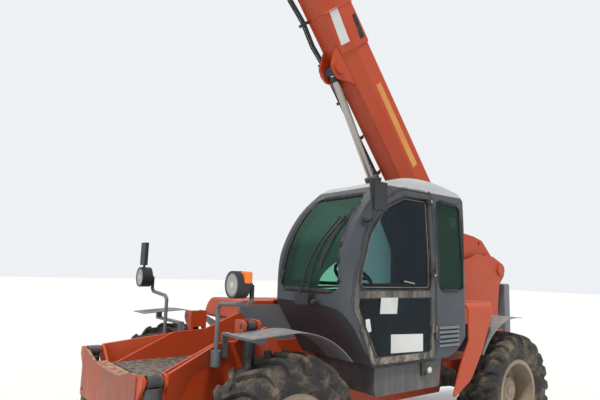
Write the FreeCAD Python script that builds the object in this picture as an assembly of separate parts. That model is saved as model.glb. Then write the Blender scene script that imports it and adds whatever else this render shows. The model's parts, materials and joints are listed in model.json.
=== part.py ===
import FreeCAD, Part
import math
import os

# A site telehandler standing with its boom raised and its forks level.
# X points forward, Y to the machine's left, Z up, all in millimetres, with the ground at Z 0.
# X is measured from the middle of the wheelbase until the end, where origin_x is taken off.

V = FreeCAD.Vector
ORIGIN = V(0, 0, 0)
ALONG_X = V(1, 0, 0)
ALONG_Y = V(0, 1, 0)
ALONG_Z = V(0, 0, 1)

# Fits
seat_gap = 0.3
swing_gap = 6.0

# Machine
wheelbase = 2850.0
origin_x = 129.0

# Wheels
tyre_radius = 590.0
tyre_width = 400.0
tyre_centre_y = 980.0
tyre_crown = 550.0
tyre_shoulder = 142.0
tyre_lugs = 12
tyre_sides = 16
lug_lead = -0.26
rim_radius = 300.0
rim_flange = 325.0
rim_width = 330.0
rim_wall = 14.0
rim_disc = 20.0
hub_radius = 130.0
hub_length = 110.0
wheel_face_y = 925.0

# Axles and knuckles
kingpin_y = 700.0
kingpin_radius = 60.0
kingpin_height = 290.0
axle_tube_radius = 95.0
axle_bowl_radius = 170.0
knuckle_arm = 32.0
knuckle_width = 140.0
spindle_radius = 150.0
axle_pad_half = 110.0
trunnion_radius = 75.0

# Main frame
frame_half = 400.0
frame_plate = 30.0
frame_bottom = 480.0
frame_rear = -2700.0
frame_front = 2200.0
axle_arch_top = 800.0
axle_arch_half = 240.0
floor_plate = 20.0

# Tie-down holes in the lower corners of the front plate, and the tow clevis
tie_in = 50.0
tie_z = 706.0
tie_bore = 24.0
tow_x = -3010.0
tow_z = 700.0
tow_bore = 17.0
tow_height = 110.0
tow_ear = 22.0

# Boom mount plates on the rear frame
pivot_x = -2500.0
pivot_z = 1840.0
pivot_boss = 95.0
pivot_pin = 45.0
mount_inner = 300.0
mount_plate = 35.0

# Boom: s runs forward from the pivot along the boom, n runs down from it
boom_rest = 52.7
boom_top_n = 370.0
boom_width = 400.0
boom_height = 380.0
boom_side = 225.0
boom_bottom = 240.0
boom_wall = 10.0
boom_tail_s = -120.0
boom_nose_s = 4650.0
collar_start_s = 3400.0
collar_plate = 12.0
ear_plate = 30.0
boom_slack = 12.0
pad_length = 160.0
inner_wall = 10.0
inner_tail_s = 300.0
inner_nose_s = 5060.0
boom_stroke = 3300.0

# Boom head and fork carriage
head_s = 5600.0
head_n = 1300.0
head_half = 150.0
head_plate = 25.0
head_boss = 80.0
head_pin = 30.0
tilt_base_s = 5020.0
tilt_base_n = 560.0
tilt_lever = 200.0
lever_inner = 66.0
lever_pin = 42.0
tilt_barrel_radius = 50.0
tilt_rod_radius = 25.0
tilt_barrel_length = 600.0
tilt_rod_length = 560.0
carriage_plate = 22.0
carriage_half = 560.0
carriage_face = 160.0
carriage_tube = 80.0
carriage_top = 230.0
carriage_low = -360.0
fork_length = 1200.0
fork_width = 125.0
fork_thickness = 50.0
fork_drop = 470.0
fork_spread = 300.0

# Lift cylinder
lift_base_x = -1520.0
lift_base_z = 880.0
lift_eye_s = 3290.0
lift_eye_n = 880.0
lift_barrel_radius = 68.0
lift_barrel_length = 2240.0
lift_rod_length = 1990.0
lift_rod_radius = 40.0
lift_eye_radius = 50.0
lift_eye_half = 70.0
lift_lug_inner = 85.0
lift_lug = 30.0
lift_pin = 30.0
lift_foot_half = 70.0
lift_foot_pin = 40.0

# Cab
cab_rear = -560.0
cab_front = 1030.0
cab_inner = 260.0
cab_outer = 1150.0
cab_floor = 1030.0
cab_waist = 1585.0
cab_top = 2602.0
cab_chin = wheelbase / 2 - 725.0
cab_wall = 45.0
roof_split = 2490.0
glass_inset = 12.0
glass_thick = 6.0
door_rear = -75.0
door_gap = 6.0
door_frame_width = 50.0
door_thick = 40.0
hinge_radius = 12.0
hinge_leaf = 55.0
hinge_height = 60.0
hinge_levels = (1250.0, 1800.0)

# Side panel behind the cab
panel_top = 1490.0
panel_outer = 1150.0
panel_wall = 12.0
panel_gap = 12.0

# Engine pod on the right
pod_inner = 430.0
pod_outer = 1120.0
pod_bottom = 600.0
pod_split = 960.0
pod_top = 1400.0
pod_rear = -wheelbase / 2 + 475.0
pod_front = wheelbase / 2 - 415.0
pod_tray_rear = -wheelbase / 2 + 765.0
pod_tray_front = wheelbase / 2 - 785.0
hood_wall = 8.0
hood_hinges = (-700.0, 500.0)

# Front stabilisers
box_front = 2350.0
box_half = 640.0
box_end = 530.0
box_bottom = 660.0
box_top = 940.0
box_wall = 20.0
box_horn = 1035.0
box_dip = 972.0
leg_pivot_y = 260.0
leg_pivot_z = 560.0
leg_x = (frame_front + box_front) / 2
leg_half = 58.0
leg_ear = 22.0
leg_foot_x = 120.0
leg_pin_y = 730.0
leg_pin_z = 500.0
leg_foot_y = 880.0
foot_bottom = 330.0
stay_top_y = 700.0
stay_top_z = 1000.0
stay_barrel_radius = 60.0
stay_rod_radius = 28.0
stay_barrel_length = 430.0
stay_rod_length = 390.0
stay_eye_half = 31.0
stay_side = stay_barrel_radius + swing_gap
stay_pin = 22.0
leg_pin = 25.0

# Front mudguards
guard_radius = 725.0
guard_wall = 6.0
guard_tip = 370.0
guard_drop = 25.0

# Lamps on their stalks, and the levelling cylinders
stalk_x = 1715.0
stalk_y = 495.0
stalk_radius = 17.0
sleeve_radius = 40.0
lamp_x = 1740.0
lamp_y = 900.0
lamp_z = 1640.0
lamp_radius = 95.0
lens_radius = 84.0
lens_recess = 8.0
level_y = 500.0
level_pin_z = 1300.0
level_ear = 25.0
level_half = 54.0


def box(x0, x1, y0, y1, z0, z1):
    """A block between two corners."""
    return Part.makeBox(x1 - x0, y1 - y0, z1 - z0, V(x0, y0, z0))


def rod(start, end, radius):
    """A round bar from one point to another."""
    run = end.sub(start)
    return Part.makeCylinder(radius, run.Length, start, run)


def cross_pin(x, z, y0, y1, radius):
    """A round bar along Y."""
    return rod(V(x, y0, z), V(x, y1, z), radius)


def fuse(shapes):
    """One solid from several that touch."""
    first = shapes[0]
    whole = first.fuse(shapes[1:]) if len(shapes) > 1 else first
    return whole.removeSplitter()


def mirrored(shape):
    """The same piece on the machine's right side."""
    return shape.mirror(ORIGIN, ALONG_Y)


def both_sides(shape):
    """A left piece and its mirror image, as separate solids."""
    return Part.makeCompound([shape, mirrored(shape)])


def in_plane(plane, a, b, level):
    """A point of a flat sketch: XZ lies at Y level, YZ at X level, XY at Z level."""
    if plane == "XZ":
        return V(a, level, b)
    if plane == "YZ":
        return V(level, a, b)
    return V(a, b, level)


def normal_of(plane):
    """The direction in which a sketch in this plane is extruded."""
    return {"XZ": ALONG_Y, "YZ": ALONG_X, "XY": ALONG_Z}[plane]


def corner(before, here, after, radius):
    """Where an arc of this radius leaves and joins the two runs at a corner, with its middle."""
    back = before.sub(here).normalize()
    ahead = after.sub(here).normalize()
    half = back.getAngle(ahead) / 2
    reach = radius / math.tan(half)
    middle = back.add(ahead).normalize()
    centre = here.add(middle.multiply(radius / math.sin(half)))
    start = here.add(back.multiply(reach))
    end = here.add(ahead.multiply(reach))
    inward = here.sub(centre).normalize()
    return start, centre.add(inward.multiply(radius)), end


def rounded_face(plane, points, level):
    """A flat face from a table of corners. Columns: first, second, and a radius where it is round."""
    places = [in_plane(plane, row[0], row[1], level) for row in points]
    edges = []
    joints = []
    for index, row in enumerate(points):
        here = places[index]
        if len(row) == 3:
            after = places[(index + 1) % len(places)]
            start, middle, end = corner(places[index - 1], here, after, row[2])
            joints.append((start, end))
            edges.append(Part.Arc(start, middle, end).toShape())
        else:
            joints.append((here, here))
    for index, (start, end) in enumerate(joints):
        before = joints[index - 1][1]
        if before.distanceToPoint(start) > 0.01:
            edges.append(Part.makeLine(before, start))
    return Part.Face(Part.Wire(Part.__sortEdges__(edges)))


def prism(plane, points, low, high):
    """A plate or block: a table of corners, extruded square to its plane."""
    face = rounded_face(plane, points, low)
    return face.extrude(V(normal_of(plane)).multiply(high - low))


def curved_face(plane, start, steps, level):
    """A face from a start point and steps: two columns make a line, four an arc by way of a point."""
    here = in_plane(plane, start[0], start[1], level)
    edges = []
    for step in steps:
        there = in_plane(plane, step[-2], step[-1], level)
        if len(step) == 4:
            way = in_plane(plane, step[0], step[1], level)
            edges.append(Part.Arc(here, way, there).toShape())
        else:
            edges.append(Part.makeLine(here, there))
        here = there
    edges.append(Part.makeLine(here, edges[0].Vertexes[0].Point))
    return Part.Face(Part.Wire(edges))


def turned(points, centre):
    """A solid of revolution about a line along Y. Columns: distance along Y, radius."""
    places = [V(centre.x, centre.y + y, centre.z + r) for y, r in points]
    face = Part.Face(Part.makePolygon(places + places[:1]))
    return face.revolve(centre, ALONG_Y, 360)


def closed(faces):
    """A solid from the faces round it, turned to face outward."""
    solid = Part.Solid(Part.Shell(faces))
    if solid.Volume < 0:
        solid.reverse()
    return solid


def flat_sided_bar(points, radius, sides):
    """A bar of flat sides along straight runs, mitred at each corner."""
    runs = [after.sub(before).normalize() for before, after in zip(points, points[1:])]
    first = Part.Edge(Part.Circle(points[0], runs[0], radius))
    step = 2 * math.pi / sides
    ring = [first.valueAt(k * step) for k in range(sides)]
    faces = [Part.Face(Part.makePolygon(ring + ring[:1]))]
    for index, run in enumerate(runs):
        end = points[index + 1]
        normal = run.add(runs[min(index + 1, len(runs) - 1)])
        after = [p.add(V(run).multiply(end.sub(p).dot(normal) / run.dot(normal))) for p in ring]
        for k in range(sides):
            m = (k + 1) % sides
            faces.append(Part.Face(Part.makePolygon([ring[k], ring[m], after[m], after[k], ring[k]])))
        ring = after
    faces.append(Part.Face(Part.makePolygon(ring + ring[:1])))
    return closed(faces)


def boom_point(s, n, y=0.0):
    """A point of the boom while it lies level."""
    return V(pivot_x + s, y, pivot_z - n)


def raised(shape):
    """A piece of the level boom, swung up to the rest angle."""
    copy = shape.copy()
    copy.rotate(V(pivot_x, 0, pivot_z), V(0, -1, 0), boom_rest)
    return copy


def raised_point(point):
    """A point of the level boom, swung up to the rest angle."""
    angle = math.radians(boom_rest)
    x = point.x - pivot_x
    z = point.z - pivot_z
    ahead = x * math.cos(angle) - z * math.sin(angle)
    up = x * math.sin(angle) + z * math.cos(angle)
    return V(pivot_x + ahead, point.y, pivot_z + up)


# Wheels and axles

def polyhedron(rings):
    """A ring-shaped solid with flat faces, from loops of points: each joins the next, the last the first."""
    faces = []
    for index, ring in enumerate(rings):
        after = rings[(index + 1) % len(rings)]
        for k, point in enumerate(ring):
            m = (k + 1) % len(ring)
            faces.append(Part.Face(Part.makePolygon([point, ring[m], after[m], after[k], point])))
    return closed(faces)


def round_the_axle(y, radius, turn):
    """A point of a wheel whose middle is the origin: turn is in radians about the axle."""
    return V(radius * math.cos(turn), y, radius * math.sin(turn))


def lug(turn, side):
    """One tread bar, from near the middle of the crown out over the shoulder, all in flat triangles.

    Columns of the table: distance across, radius of its root, radius of its top, half its width, its lead.
    """
    stations = []
    table = [
        (8, tyre_crown - 30, tyre_radius, 30, lug_lead),
        (tyre_width / 2 - 4, 415, tyre_radius - 44, 42, 0),
    ]
    for across, root, top, half, lead in table:
        low, high = -half / tyre_radius, half / tyre_radius
        rows = [(root, low * 1.25), (root, high * 1.25), (top, high), (top, low)]
        stations.append([round_the_axle(side * across, r, turn + lead + t) for r, t in rows])
    inner, outer = stations
    faces = [Part.Face(Part.makePolygon([ring[a], ring[b], ring[c], ring[a]]))
             for ring in stations for a, b, c in ((0, 1, 2), (0, 2, 3))]
    for k in range(4):
        m = (k + 1) % 4
        for corners in ((inner[k], inner[m], outer[m]), (inner[k], outer[m], outer[k])):
            faces.append(Part.Face(Part.makePolygon(list(corners) + [corners[0]])))
    return closed(faces)


def tyre():
    """A tyre in flat facets with lugs left and right in turn, its middle at the origin."""
    bead = rim_width / 2 - rim_wall
    bore = (rim_radius + seat_gap) / math.cos(math.pi / tyre_sides) + seat_gap
    side = [(bead, bore), (bead, rim_flange + 15), (tyre_width / 2 - 3, 430), (tyre_shoulder, tyre_crown)]
    profile = side + [(-y, r) for y, r in side[::-1]]
    step = 2 * math.pi / tyre_sides
    rings = [[round_the_axle(y, r, k * step) for k in range(tyre_sides)] for y, r in profile]
    bars = []
    for k in range(tyre_lugs):
        turn = 2 * math.pi * k / tyre_lugs
        bars.append(lug(turn, 1))
        bars.append(lug(turn + math.pi / tyre_lugs, -1))
    return polyhedron(rings).fuse(bars)


def rim(centre, side):
    """A dished wheel: barrel with two flanges, disc and planetary hub."""
    half = rim_width / 2
    face = (wheel_face_y - tyre_centre_y)
    inner = rim_radius - rim_wall
    profile = [
        (-half, rim_flange), (-half, inner), (face, inner), (face, 0),
        (face + rim_disc + hub_length, 0), (face + rim_disc + hub_length, hub_radius * 0.75),
        (face + rim_disc + hub_length - 20, hub_radius), (face + rim_disc, hub_radius),
        (face + rim_disc, inner), (half, inner), (half, rim_flange), (half - rim_wall, rim_flange),
        (half - rim_wall, rim_radius), (-half + rim_wall, rim_radius), (-half + rim_wall, rim_flange),
    ]
    if side < 0:
        profile = [(-y, r) for y, r in profile]
    return turned(profile, centre)


def knuckle():
    """The left front steering knuckle: a yoke round the kingpin, with the fixed part of the hub."""
    x = wheelbase / 2
    z = tyre_radius
    half = knuckle_width / 2
    reach = kingpin_height / 2 + seat_gap
    back = kingpin_y + kingpin_radius + swing_gap
    web = box(x - half, x + half, back, back + knuckle_arm, z - reach - knuckle_arm, z + reach + knuckle_arm)
    arms = []
    for low in (z + reach, z - reach - knuckle_arm):
        arms.append(box(x - half, x + half, kingpin_y, back, low, low + knuckle_arm))
        arms.append(Part.makeCylinder(half, knuckle_arm, V(x, kingpin_y, low)))
    spindle = cross_pin(x, z, back, wheel_face_y - seat_gap, spindle_radius)
    return fuse([web, spindle] + arms)


def axle():
    """The front axle: a bowl in the middle, tapered tubes, and a kingpin housing at each end."""
    x = wheelbase / 2
    z = tyre_radius
    centre = V(x, 0, z)
    end = kingpin_y - 30
    profile = [
        (-end, 0), (-end, axle_tube_radius), (-330, axle_tube_radius), (-190, axle_bowl_radius - 40),
        (-120, axle_bowl_radius), (120, axle_bowl_radius), (190, axle_bowl_radius - 40),
        (330, axle_tube_radius), (end, axle_tube_radius), (end, 0),
    ]
    beam = turned(profile, centre)
    housing = Part.makeCylinder(kingpin_radius, kingpin_height, V(x, kingpin_y, z - kingpin_height / 2))
    reach = axle_arch_half + 60
    nose = rod(V(x - reach, 0, z), V(x + reach, 0, z), trunnion_radius)
    pads = box(x - 70, x + 70, 450, 550, z, z + axle_pad_half)
    return fuse([beam, housing, mirrored(housing), nose, pads, mirrored(pads)])


# Frame

def frame_outline(beside):
    """Side plate corners, from the rear top forward and back along the bottom. Columns: x, z, radius.

    The rows beside the cab or the pod come from the caller.
    """
    rear_axle = -wheelbase / 2
    front_axle = wheelbase / 2
    bottom = frame_bottom
    arch = axle_arch_top
    half = axle_arch_half
    return [(frame_rear, 980, 60)] + beside + [
        (1360, 1183, 60), (1682, 1164, 60), (frame_front, 930),
        (frame_front, bottom), (front_axle + half + 60, bottom, 30), (front_axle + half, arch, 50),
        (front_axle - half, arch, 50), (front_axle - half - 60, bottom, 30),
        (rear_axle + half + 60, bottom, 30), (rear_axle + half, arch, 50),
        (rear_axle - half, arch, 50), (rear_axle - half - 60, bottom + 60, 30),
        (frame_rear, bottom + 160),
    ]


def frame_plate_left():
    """The left longitudinal plate."""
    beside = [(-1500, 980, 60), (-1300, cab_floor, 60), (1010, cab_floor, 60), (1170, 1290, 60)]
    return prism("XZ", frame_outline(beside), frame_half - frame_plate, frame_half)


def frame_plate_right():
    """The right longitudinal plate, taller beside the engine pod."""
    beside = [(-1500, 980, 60), (-1300, cab_floor, 60), (800, cab_floor, 60), (980, 1330, 60)]
    return prism("XZ", frame_outline(beside), -frame_half, -frame_half + frame_plate)


def frame_centre():
    """Belly plate and cross members between the two side plates."""
    inner = frame_half - frame_plate
    rear_axle = -wheelbase / 2
    front_axle = wheelbase / 2
    half = axle_arch_half + 60
    belly = box(rear_axle + half, front_axle - half, -inner, inner, frame_bottom, frame_bottom + floor_plate)
    hanger_front = box(front_axle + half, front_axle + half + 30, -inner, inner, frame_bottom, 930)
    hanger_mid = box(front_axle - half - 30, front_axle - half, -inner, inner, frame_bottom + floor_plate, 930)
    deck = box(front_axle - half - 30, frame_front, -inner, inner, 930, 930 + floor_plate)
    hanger_rear = box(rear_axle + half, rear_axle + half + 30, -inner, inner, frame_bottom + floor_plate, 688)
    return fuse([belly, hanger_front, hanger_mid, deck, hanger_rear])


def front_gussets():
    """Plates that flare out from the frame's sides to the stabiliser box, cut up over the steered tyre."""
    rows = [
        (1640, 1167), (frame_front, 1045), (frame_front, 700), (2100, 800, 60), (2000, 925, 60), (1900, 1000, 60),
        (1640, 1000),
    ]
    end = leg_x - stay_side - leg_ear - seat_gap
    band = [(1640, frame_half), (1692, frame_half), (end, 710), (end, 746)]
    plate = prism("XZ", rows, frame_half, 800).common(prism("XY", band, 600, 1300))
    return both_sides(plate)


def boom_mount():
    """The two upright plates that carry the boom pivot, with a stub on each for the lift cylinder's foot."""
    outer = mount_inner + mount_plate
    rows = [
        (-1420, 790, 40), (-1420, 1000, 60), (-1560, 1400, 80), (-1740, 1930, 50), (-2025, 2020, 60),
        (-2340, 2005, 60), (pivot_x - pivot_boss, pivot_z + 60, 60), (pivot_x - pivot_boss, pivot_z - 70, 60),
        (-2470, 1640, 60), (-2420, 1300, 80), (-2560, 980, 60), (-2560, 660, 40), (-1790, 600, 40), (-1720, 790, 60),
    ]
    plate = prism("XZ", rows, mount_inner, outer)
    boss = cross_pin(pivot_x, pivot_z, mount_inner, outer + 20, 75)
    stub = cross_pin(lift_base_x, lift_base_z, lift_foot_half + swing_gap, mount_inner, lift_foot_pin)
    side = fuse([plate, boss, stub])
    spacers = [box(x, x + 200, outer, frame_half - frame_plate, 820, 940) for x in (-2540, -1700)]
    side = fuse([side] + spacers)
    pin = cross_pin(pivot_x, pivot_z, -mount_inner, mount_inner, pivot_pin)
    web = box(-2050, -1990, -mount_inner, mount_inner, 680, 1000)
    rear_axle = -wheelbase / 2
    hanger = rear_axle - axle_arch_half - 60
    trunnion = box(hanger - 30, hanger, -mount_inner, mount_inner, 500, 800)
    return fuse([side, mirrored(side), pin, web, trunnion])


def counterweight():
    """The cast weight across the tail, with the tow clevis."""
    back = frame_rear - 220
    rows = [(back, 560, 40), (back, 900, 60), (back + 60, 960, 40), (frame_rear, 960, 20), (frame_rear, 560, 20)]
    body = prism("XZ", rows, -frame_half - 30, frame_half + 30)
    low = tow_z - tow_height / 2
    ears = []
    for z in (low, low + tow_height - tow_ear):
        ear = [(back, -90), (back, 90), (tow_x - 60, 60, 45), (tow_x - 60, -60, 45)]
        ears.append(prism("XY", ear, z, z + tow_ear))
    bore = rod(V(tow_x, 0, low - 1), V(tow_x, 0, low + tow_height + 1), tow_bore)
    return fuse([body] + ears).cut(bore)


def rear_tower():
    """The grey upright box behind the turret, standing on the weight."""
    rows = [(-2790, 960), (-2790, 1656, 30), (-2665, 1662, 30), (-2665, 960)]
    return prism("XZ", rows, 120, 290)


# Boom

def boom_section(width, height, side, bottom, top_n, start, end):
    """A boom tube's solid: flat top, upright sides, then bevels down to a narrow bottom."""
    top = pivot_z - top_n
    rows = [
        (-width / 2, top, 14), (width / 2, top, 14), (width / 2, top - side, 20),
        (bottom / 2, top - height, 20), (-bottom / 2, top - height, 20), (-width / 2, top - side, 20),
    ]
    return prism("YZ", rows, pivot_x + start, pivot_x + end)


def boom_tube(inset, start, end):
    """The outer section's form, made smaller all round by an inset."""
    width = boom_width - 2 * inset
    height = boom_height - 2 * inset
    bottom = boom_bottom - 1.2 * inset
    return boom_section(width, height, boom_side - inset, bottom, boom_top_n + inset, start, end)


def boom_outer():
    """The outer section with its collar, pivot ears and lift lugs."""
    tube = boom_tube(0, boom_tail_s, boom_nose_s)
    collar = boom_tube(-collar_plate, collar_start_s, boom_nose_s)
    bore = boom_tube(boom_wall, boom_tail_s - 1, boom_nose_s - pad_length)
    pad_bore = boom_tube(boom_wall + boom_slack - seat_gap, boom_nose_s - pad_length - 1, boom_nose_s + 1)
    ear_rows = [
        (pivot_x - 90, pivot_z + 92, 85), (pivot_x + 90, pivot_z + 92, 85), (pivot_x + 440, pivot_z + 30, 60),
        (pivot_x + 590, pivot_z - 90, 60), (pivot_x + 900, pivot_z - boom_top_n - 40),
        (pivot_x + 900, pivot_z - boom_top_n - 160), (pivot_x - 60, pivot_z - boom_top_n - 200, 60),
        (pivot_x - 100, pivot_z - 200, 40),
    ]
    half = boom_width / 2
    ear = prism("XZ", ear_rows, half, half + ear_plate)
    boss = cross_pin(pivot_x, pivot_z, half + 1, mount_inner - 3, 78)
    hole = cross_pin(pivot_x, pivot_z, -mount_inner, mount_inner, pivot_pin + seat_gap)
    for along in (264, 448):
        ear = ear.cut(cross_pin(pivot_x + along, pivot_z - 55, half - 1, half + ear_plate + 1, 24))
    eye = boom_point(lift_eye_s, lift_eye_n)
    under = pivot_z - boom_top_n - boom_height
    lug_rows = [
        (eye.x - 260, under + 30, 20), (eye.x + 260, under + 30, 20), (eye.x + 75, eye.z - 75, 70),
        (eye.x - 75, eye.z - 75, 70),
    ]
    lug = prism("XZ", lug_rows, lift_lug_inner, lift_lug_inner + lift_lug)
    boss_lug = cross_pin(eye.x, eye.z, lift_lug_inner - 8, lift_lug_inner + lift_lug + 25, 60)
    lug_pin = cross_pin(eye.x, eye.z, 0, lift_lug_inner, lift_pin)
    side = fuse([ear, boss])
    body = fuse([tube, collar])
    lugs = fuse([lug, boss_lug, lug_pin])
    body = fuse([body, side, mirrored(side), lugs, mirrored(lugs)])
    return raised(body.cut(bore).cut(pad_bore).cut(hole))


def boom_inner():
    """The inner section and its cranked head, down to the carriage pin."""
    outer_inset = boom_wall + boom_slack
    tube = boom_tube(outer_inset, inner_tail_s, inner_nose_s)
    bore = boom_tube(outer_inset + inner_wall, inner_tail_s - 1, inner_nose_s + 1)
    top = pivot_z - boom_top_n - outer_inset
    low = pivot_z - boom_top_n - boom_height + outer_inset
    hinge = boom_point(head_s, head_n)
    nose = pivot_x + inner_nose_s
    rows = [
        (nose - 210, top, 60), (nose + 170, top, 80), (hinge.x + 40, hinge.z + 330, 160),
        (hinge.x + head_boss, hinge.z, 75), (hinge.x + 10, hinge.z - head_boss, 75),
        (hinge.x - 90, hinge.z - 40, 60), (nose - 100, low - 40, 120), (nose - 210, low, 20),
    ]
    cheek = prism("XZ", rows, head_half - head_plate, head_half)
    base = boom_point(tilt_base_s, tilt_base_n)
    stub = cross_pin(base.x, base.z, -head_half, head_half, head_pin)
    shell = tube.cut(bore)
    slot = box(nose - 360, nose + 1, -head_half + head_plate, head_half - head_plate,
               low - 30, pivot_z - boom_top_n - outer_inset - 40)
    shell = shell.cut(slot)
    pin = cross_pin(hinge.x, hinge.z, -head_half, head_half, head_pin)
    return raised(fuse([shell, cheek, mirrored(cheek), stub, pin]))


# Fork carriage, built level about its own pin

def carriage_pin():
    """The carriage hinge in the machine at rest."""
    return raised_point(boom_point(head_s, head_n))


def carriage():
    """Two cheeks on the pin with a fork frame in front."""
    hinge = carriage_pin()
    face = hinge.x + carriage_face
    rows = [
        (hinge.x - 66, hinge.z + 66, 60), (hinge.x - 52, hinge.z + tilt_lever + 50, 48),
        (hinge.x + 52, hinge.z + tilt_lever + 50, 48), (face, hinge.z + carriage_top),
        (face, hinge.z + carriage_low), (face - 80, hinge.z + carriage_low, 30), (hinge.x - 66, hinge.z - 66, 60),
    ]
    cheek = prism("XZ", rows, lever_inner, lever_inner + carriage_plate)
    stub = cross_pin(hinge.x, hinge.z + tilt_lever, lever_pin, lever_inner, 28)
    hole = cross_pin(hinge.x, hinge.z, -head_half, head_half, head_pin + seat_gap)
    side = fuse([cheek, stub])
    bars = []
    for low in (carriage_top - carriage_tube, carriage_low):
        bars.append(box(face, face + carriage_tube / 2, -carriage_half, carriage_half,
                        hinge.z + low, hinge.z + low + carriage_tube))
    for y in (-carriage_half, carriage_half - 30):
        bars.append(box(face, face + carriage_tube / 2, y, y + 30, hinge.z + carriage_low, hinge.z + carriage_top))
    return fuse(bars + [side, mirrored(side)]).cut(hole)


def fork_rest(side):
    """A point on a fork blade's flat upper face."""
    hinge = carriage_pin()
    back = hinge.x + carriage_face + carriage_tube / 2 + seat_gap
    return V(back + 180, side * fork_spread, hinge.z - fork_drop + fork_thickness)


def forks():
    """Two L-shaped forks hung on the carriage bars."""
    hinge = carriage_pin()
    back = hinge.x + carriage_face + carriage_tube / 2 + seat_gap
    low = hinge.z - fork_drop
    rows = [
        (back, low, 10), (back + fork_length, low), (back + fork_length, low + 12),
        (back + 300, low + fork_thickness), (back + fork_thickness, low + fork_thickness, 30),
        (back + fork_thickness, hinge.z + carriage_top + 30), (back, hinge.z + carriage_top + 30),
    ]
    fork = prism("XZ", rows, fork_spread - fork_width / 2, fork_spread + fork_width / 2)
    return both_sides(fork)


# Cylinders

def cylinder_barrel(base, tip, radius, length, base_eye, half):
    """A barrel with its foot eye at the base and a gland at its open end, bored for the rod."""
    run = tip.sub(base).normalize()
    end = base.add(V(run).multiply(length))
    start = base.add(V(run).multiply(base_eye * 0.8))
    barrel = rod(start, end, radius)
    gland = rod(end.sub(V(run).multiply(60)), end, radius + 8)
    eye = cross_pin(base.x, base.z, -half, half, base_eye)
    return fuse([barrel, gland, eye])


def lift_points():
    """Foot and eye of the lift cylinder at rest."""
    foot = V(lift_base_x, 0, lift_base_z)
    eye = raised_point(boom_point(lift_eye_s, lift_eye_n))
    return foot, eye


def lift_barrel():
    """The lift cylinder's barrel between the boom mount plates."""
    foot, eye = lift_points()
    barrel = cylinder_barrel(foot, eye, lift_barrel_radius, lift_barrel_length, 75, lift_foot_half)
    run = eye.sub(foot).normalize()
    bore_start = foot.add(V(run).multiply(150))
    bore = rod(bore_start, eye, lift_rod_radius + seat_gap)
    hole = cross_pin(foot.x, foot.z, -80, 80, lift_foot_pin + seat_gap)
    return barrel.cut(bore).cut(hole)


def lift_rod():
    """The lift cylinder's chromed rod and its eye."""
    foot, eye = lift_points()
    run = eye.sub(foot).normalize()
    start = eye.sub(V(run).multiply(lift_rod_length))
    bar = rod(start, eye, lift_rod_radius)
    head = cross_pin(eye.x, eye.z, -lift_eye_half, lift_eye_half, lift_eye_radius)
    hole = cross_pin(eye.x, eye.z, -lift_eye_half - 1, lift_eye_half + 1, lift_pin + seat_gap)
    return fuse([bar, head]).cut(hole)


def tilt_points():
    """Foot and eye of the tilt cylinder at rest."""
    foot = raised_point(boom_point(tilt_base_s, tilt_base_n))
    hinge = carriage_pin()
    return foot, V(hinge.x, 0, hinge.z + tilt_lever)


def tilt_barrel():
    """The tilt cylinder's barrel inside the boom head."""
    foot, eye = tilt_points()
    barrel = cylinder_barrel(foot, eye, tilt_barrel_radius, tilt_barrel_length, 50, 36)
    run = eye.sub(foot).normalize()
    bore = rod(foot.add(V(run).multiply(110)), eye, tilt_rod_radius + seat_gap)
    hole = cross_pin(foot.x, foot.z, -80, 80, head_pin + seat_gap)
    return barrel.cut(bore).cut(hole)


def tilt_rod():
    """The tilt cylinder's rod and eye."""
    foot, eye = tilt_points()
    run = eye.sub(foot).normalize()
    start = eye.sub(V(run).multiply(tilt_rod_length))
    bar = rod(start, eye, tilt_rod_radius)
    head = cross_pin(eye.x, eye.z, -34, 34, 42)
    return fuse([bar, head])


# Stabilisers

def fore_and_aft(y, z, x0, x1, radius):
    """A round bar along X."""
    return rod(V(x0, y, z), V(x1, y, z), radius)


def nose_plate():
    """The wide plate across the nose: a horn at each end, a dip between them and two tie-down holes."""
    right = [(-box_end, box_horn, 30), (-box_half, box_horn, 20), (-box_half, box_bottom)]
    left = [(-y, *rest) for y, *rest in right[::-1]]
    front = left + [(280, box_dip, 300), (-280, box_dip, 300)] + right
    face = prism("YZ", front, box_front, box_front + box_wall)
    tie = fore_and_aft(box_half - tie_in, tie_z, box_front - 1, box_front + box_wall + 1, tie_bore)
    return face.cut(tie).cut(mirrored(tie))


def stabiliser_box():
    """The transverse box at the nose behind its wide plate, with cheeks and a pin for each leg."""
    shell = box(frame_front, box_front, -box_end, box_end, box_bottom, box_top)
    hollow = box(frame_front + box_wall, box_front - box_wall, -box_end + box_wall, box_end - box_wall,
                 box_bottom + box_wall, box_top - box_wall)
    side = []
    cheek = [leg_pivot_y - 60, leg_pivot_y + 60, leg_pivot_z - 60, box_bottom + 5]
    near = leg_half + swing_gap
    for way in (-1, 1):
        x0, x1 = sorted((leg_x + way * near, leg_x + way * (near + 34)))
        side.append(box(x0, x1, *cheek))
    side.append(fore_and_aft(leg_pivot_y, leg_pivot_z, leg_x - near - 34, leg_x + near + 34, leg_pin))
    return fuse([shell.cut(hollow), nose_plate()] + side + [mirrored(piece) for piece in side])


def stabiliser_ears():
    """A clevis at each end of the nose for the top of a cylinder: two ears on the box's end and a loose pin."""
    rows = [
        (box_end, box_top - 140), (box_half, box_top - 80, 20), (stay_top_y + 45, stay_top_z - 20, 40),
        (stay_top_y + 30, stay_top_z + 45, 35), (stay_top_y - 40, stay_top_z + 45, 40), (box_end, box_top),
    ]
    reach = stay_side + leg_ear
    hole = fore_and_aft(stay_top_y, stay_top_z, leg_x - reach - 1, leg_x + reach + 1, stay_pin + seat_gap)
    plate = nose_plate()
    pieces = [prism("YZ", rows, x, x + leg_ear).cut(hole).cut(plate) for x in (leg_x - reach, leg_x + stay_side)]
    pieces.append(fore_and_aft(stay_top_y, stay_top_z, leg_x - reach, leg_x + reach, stay_pin))
    return Part.makeCompound(pieces + [mirrored(piece) for piece in pieces])


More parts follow.
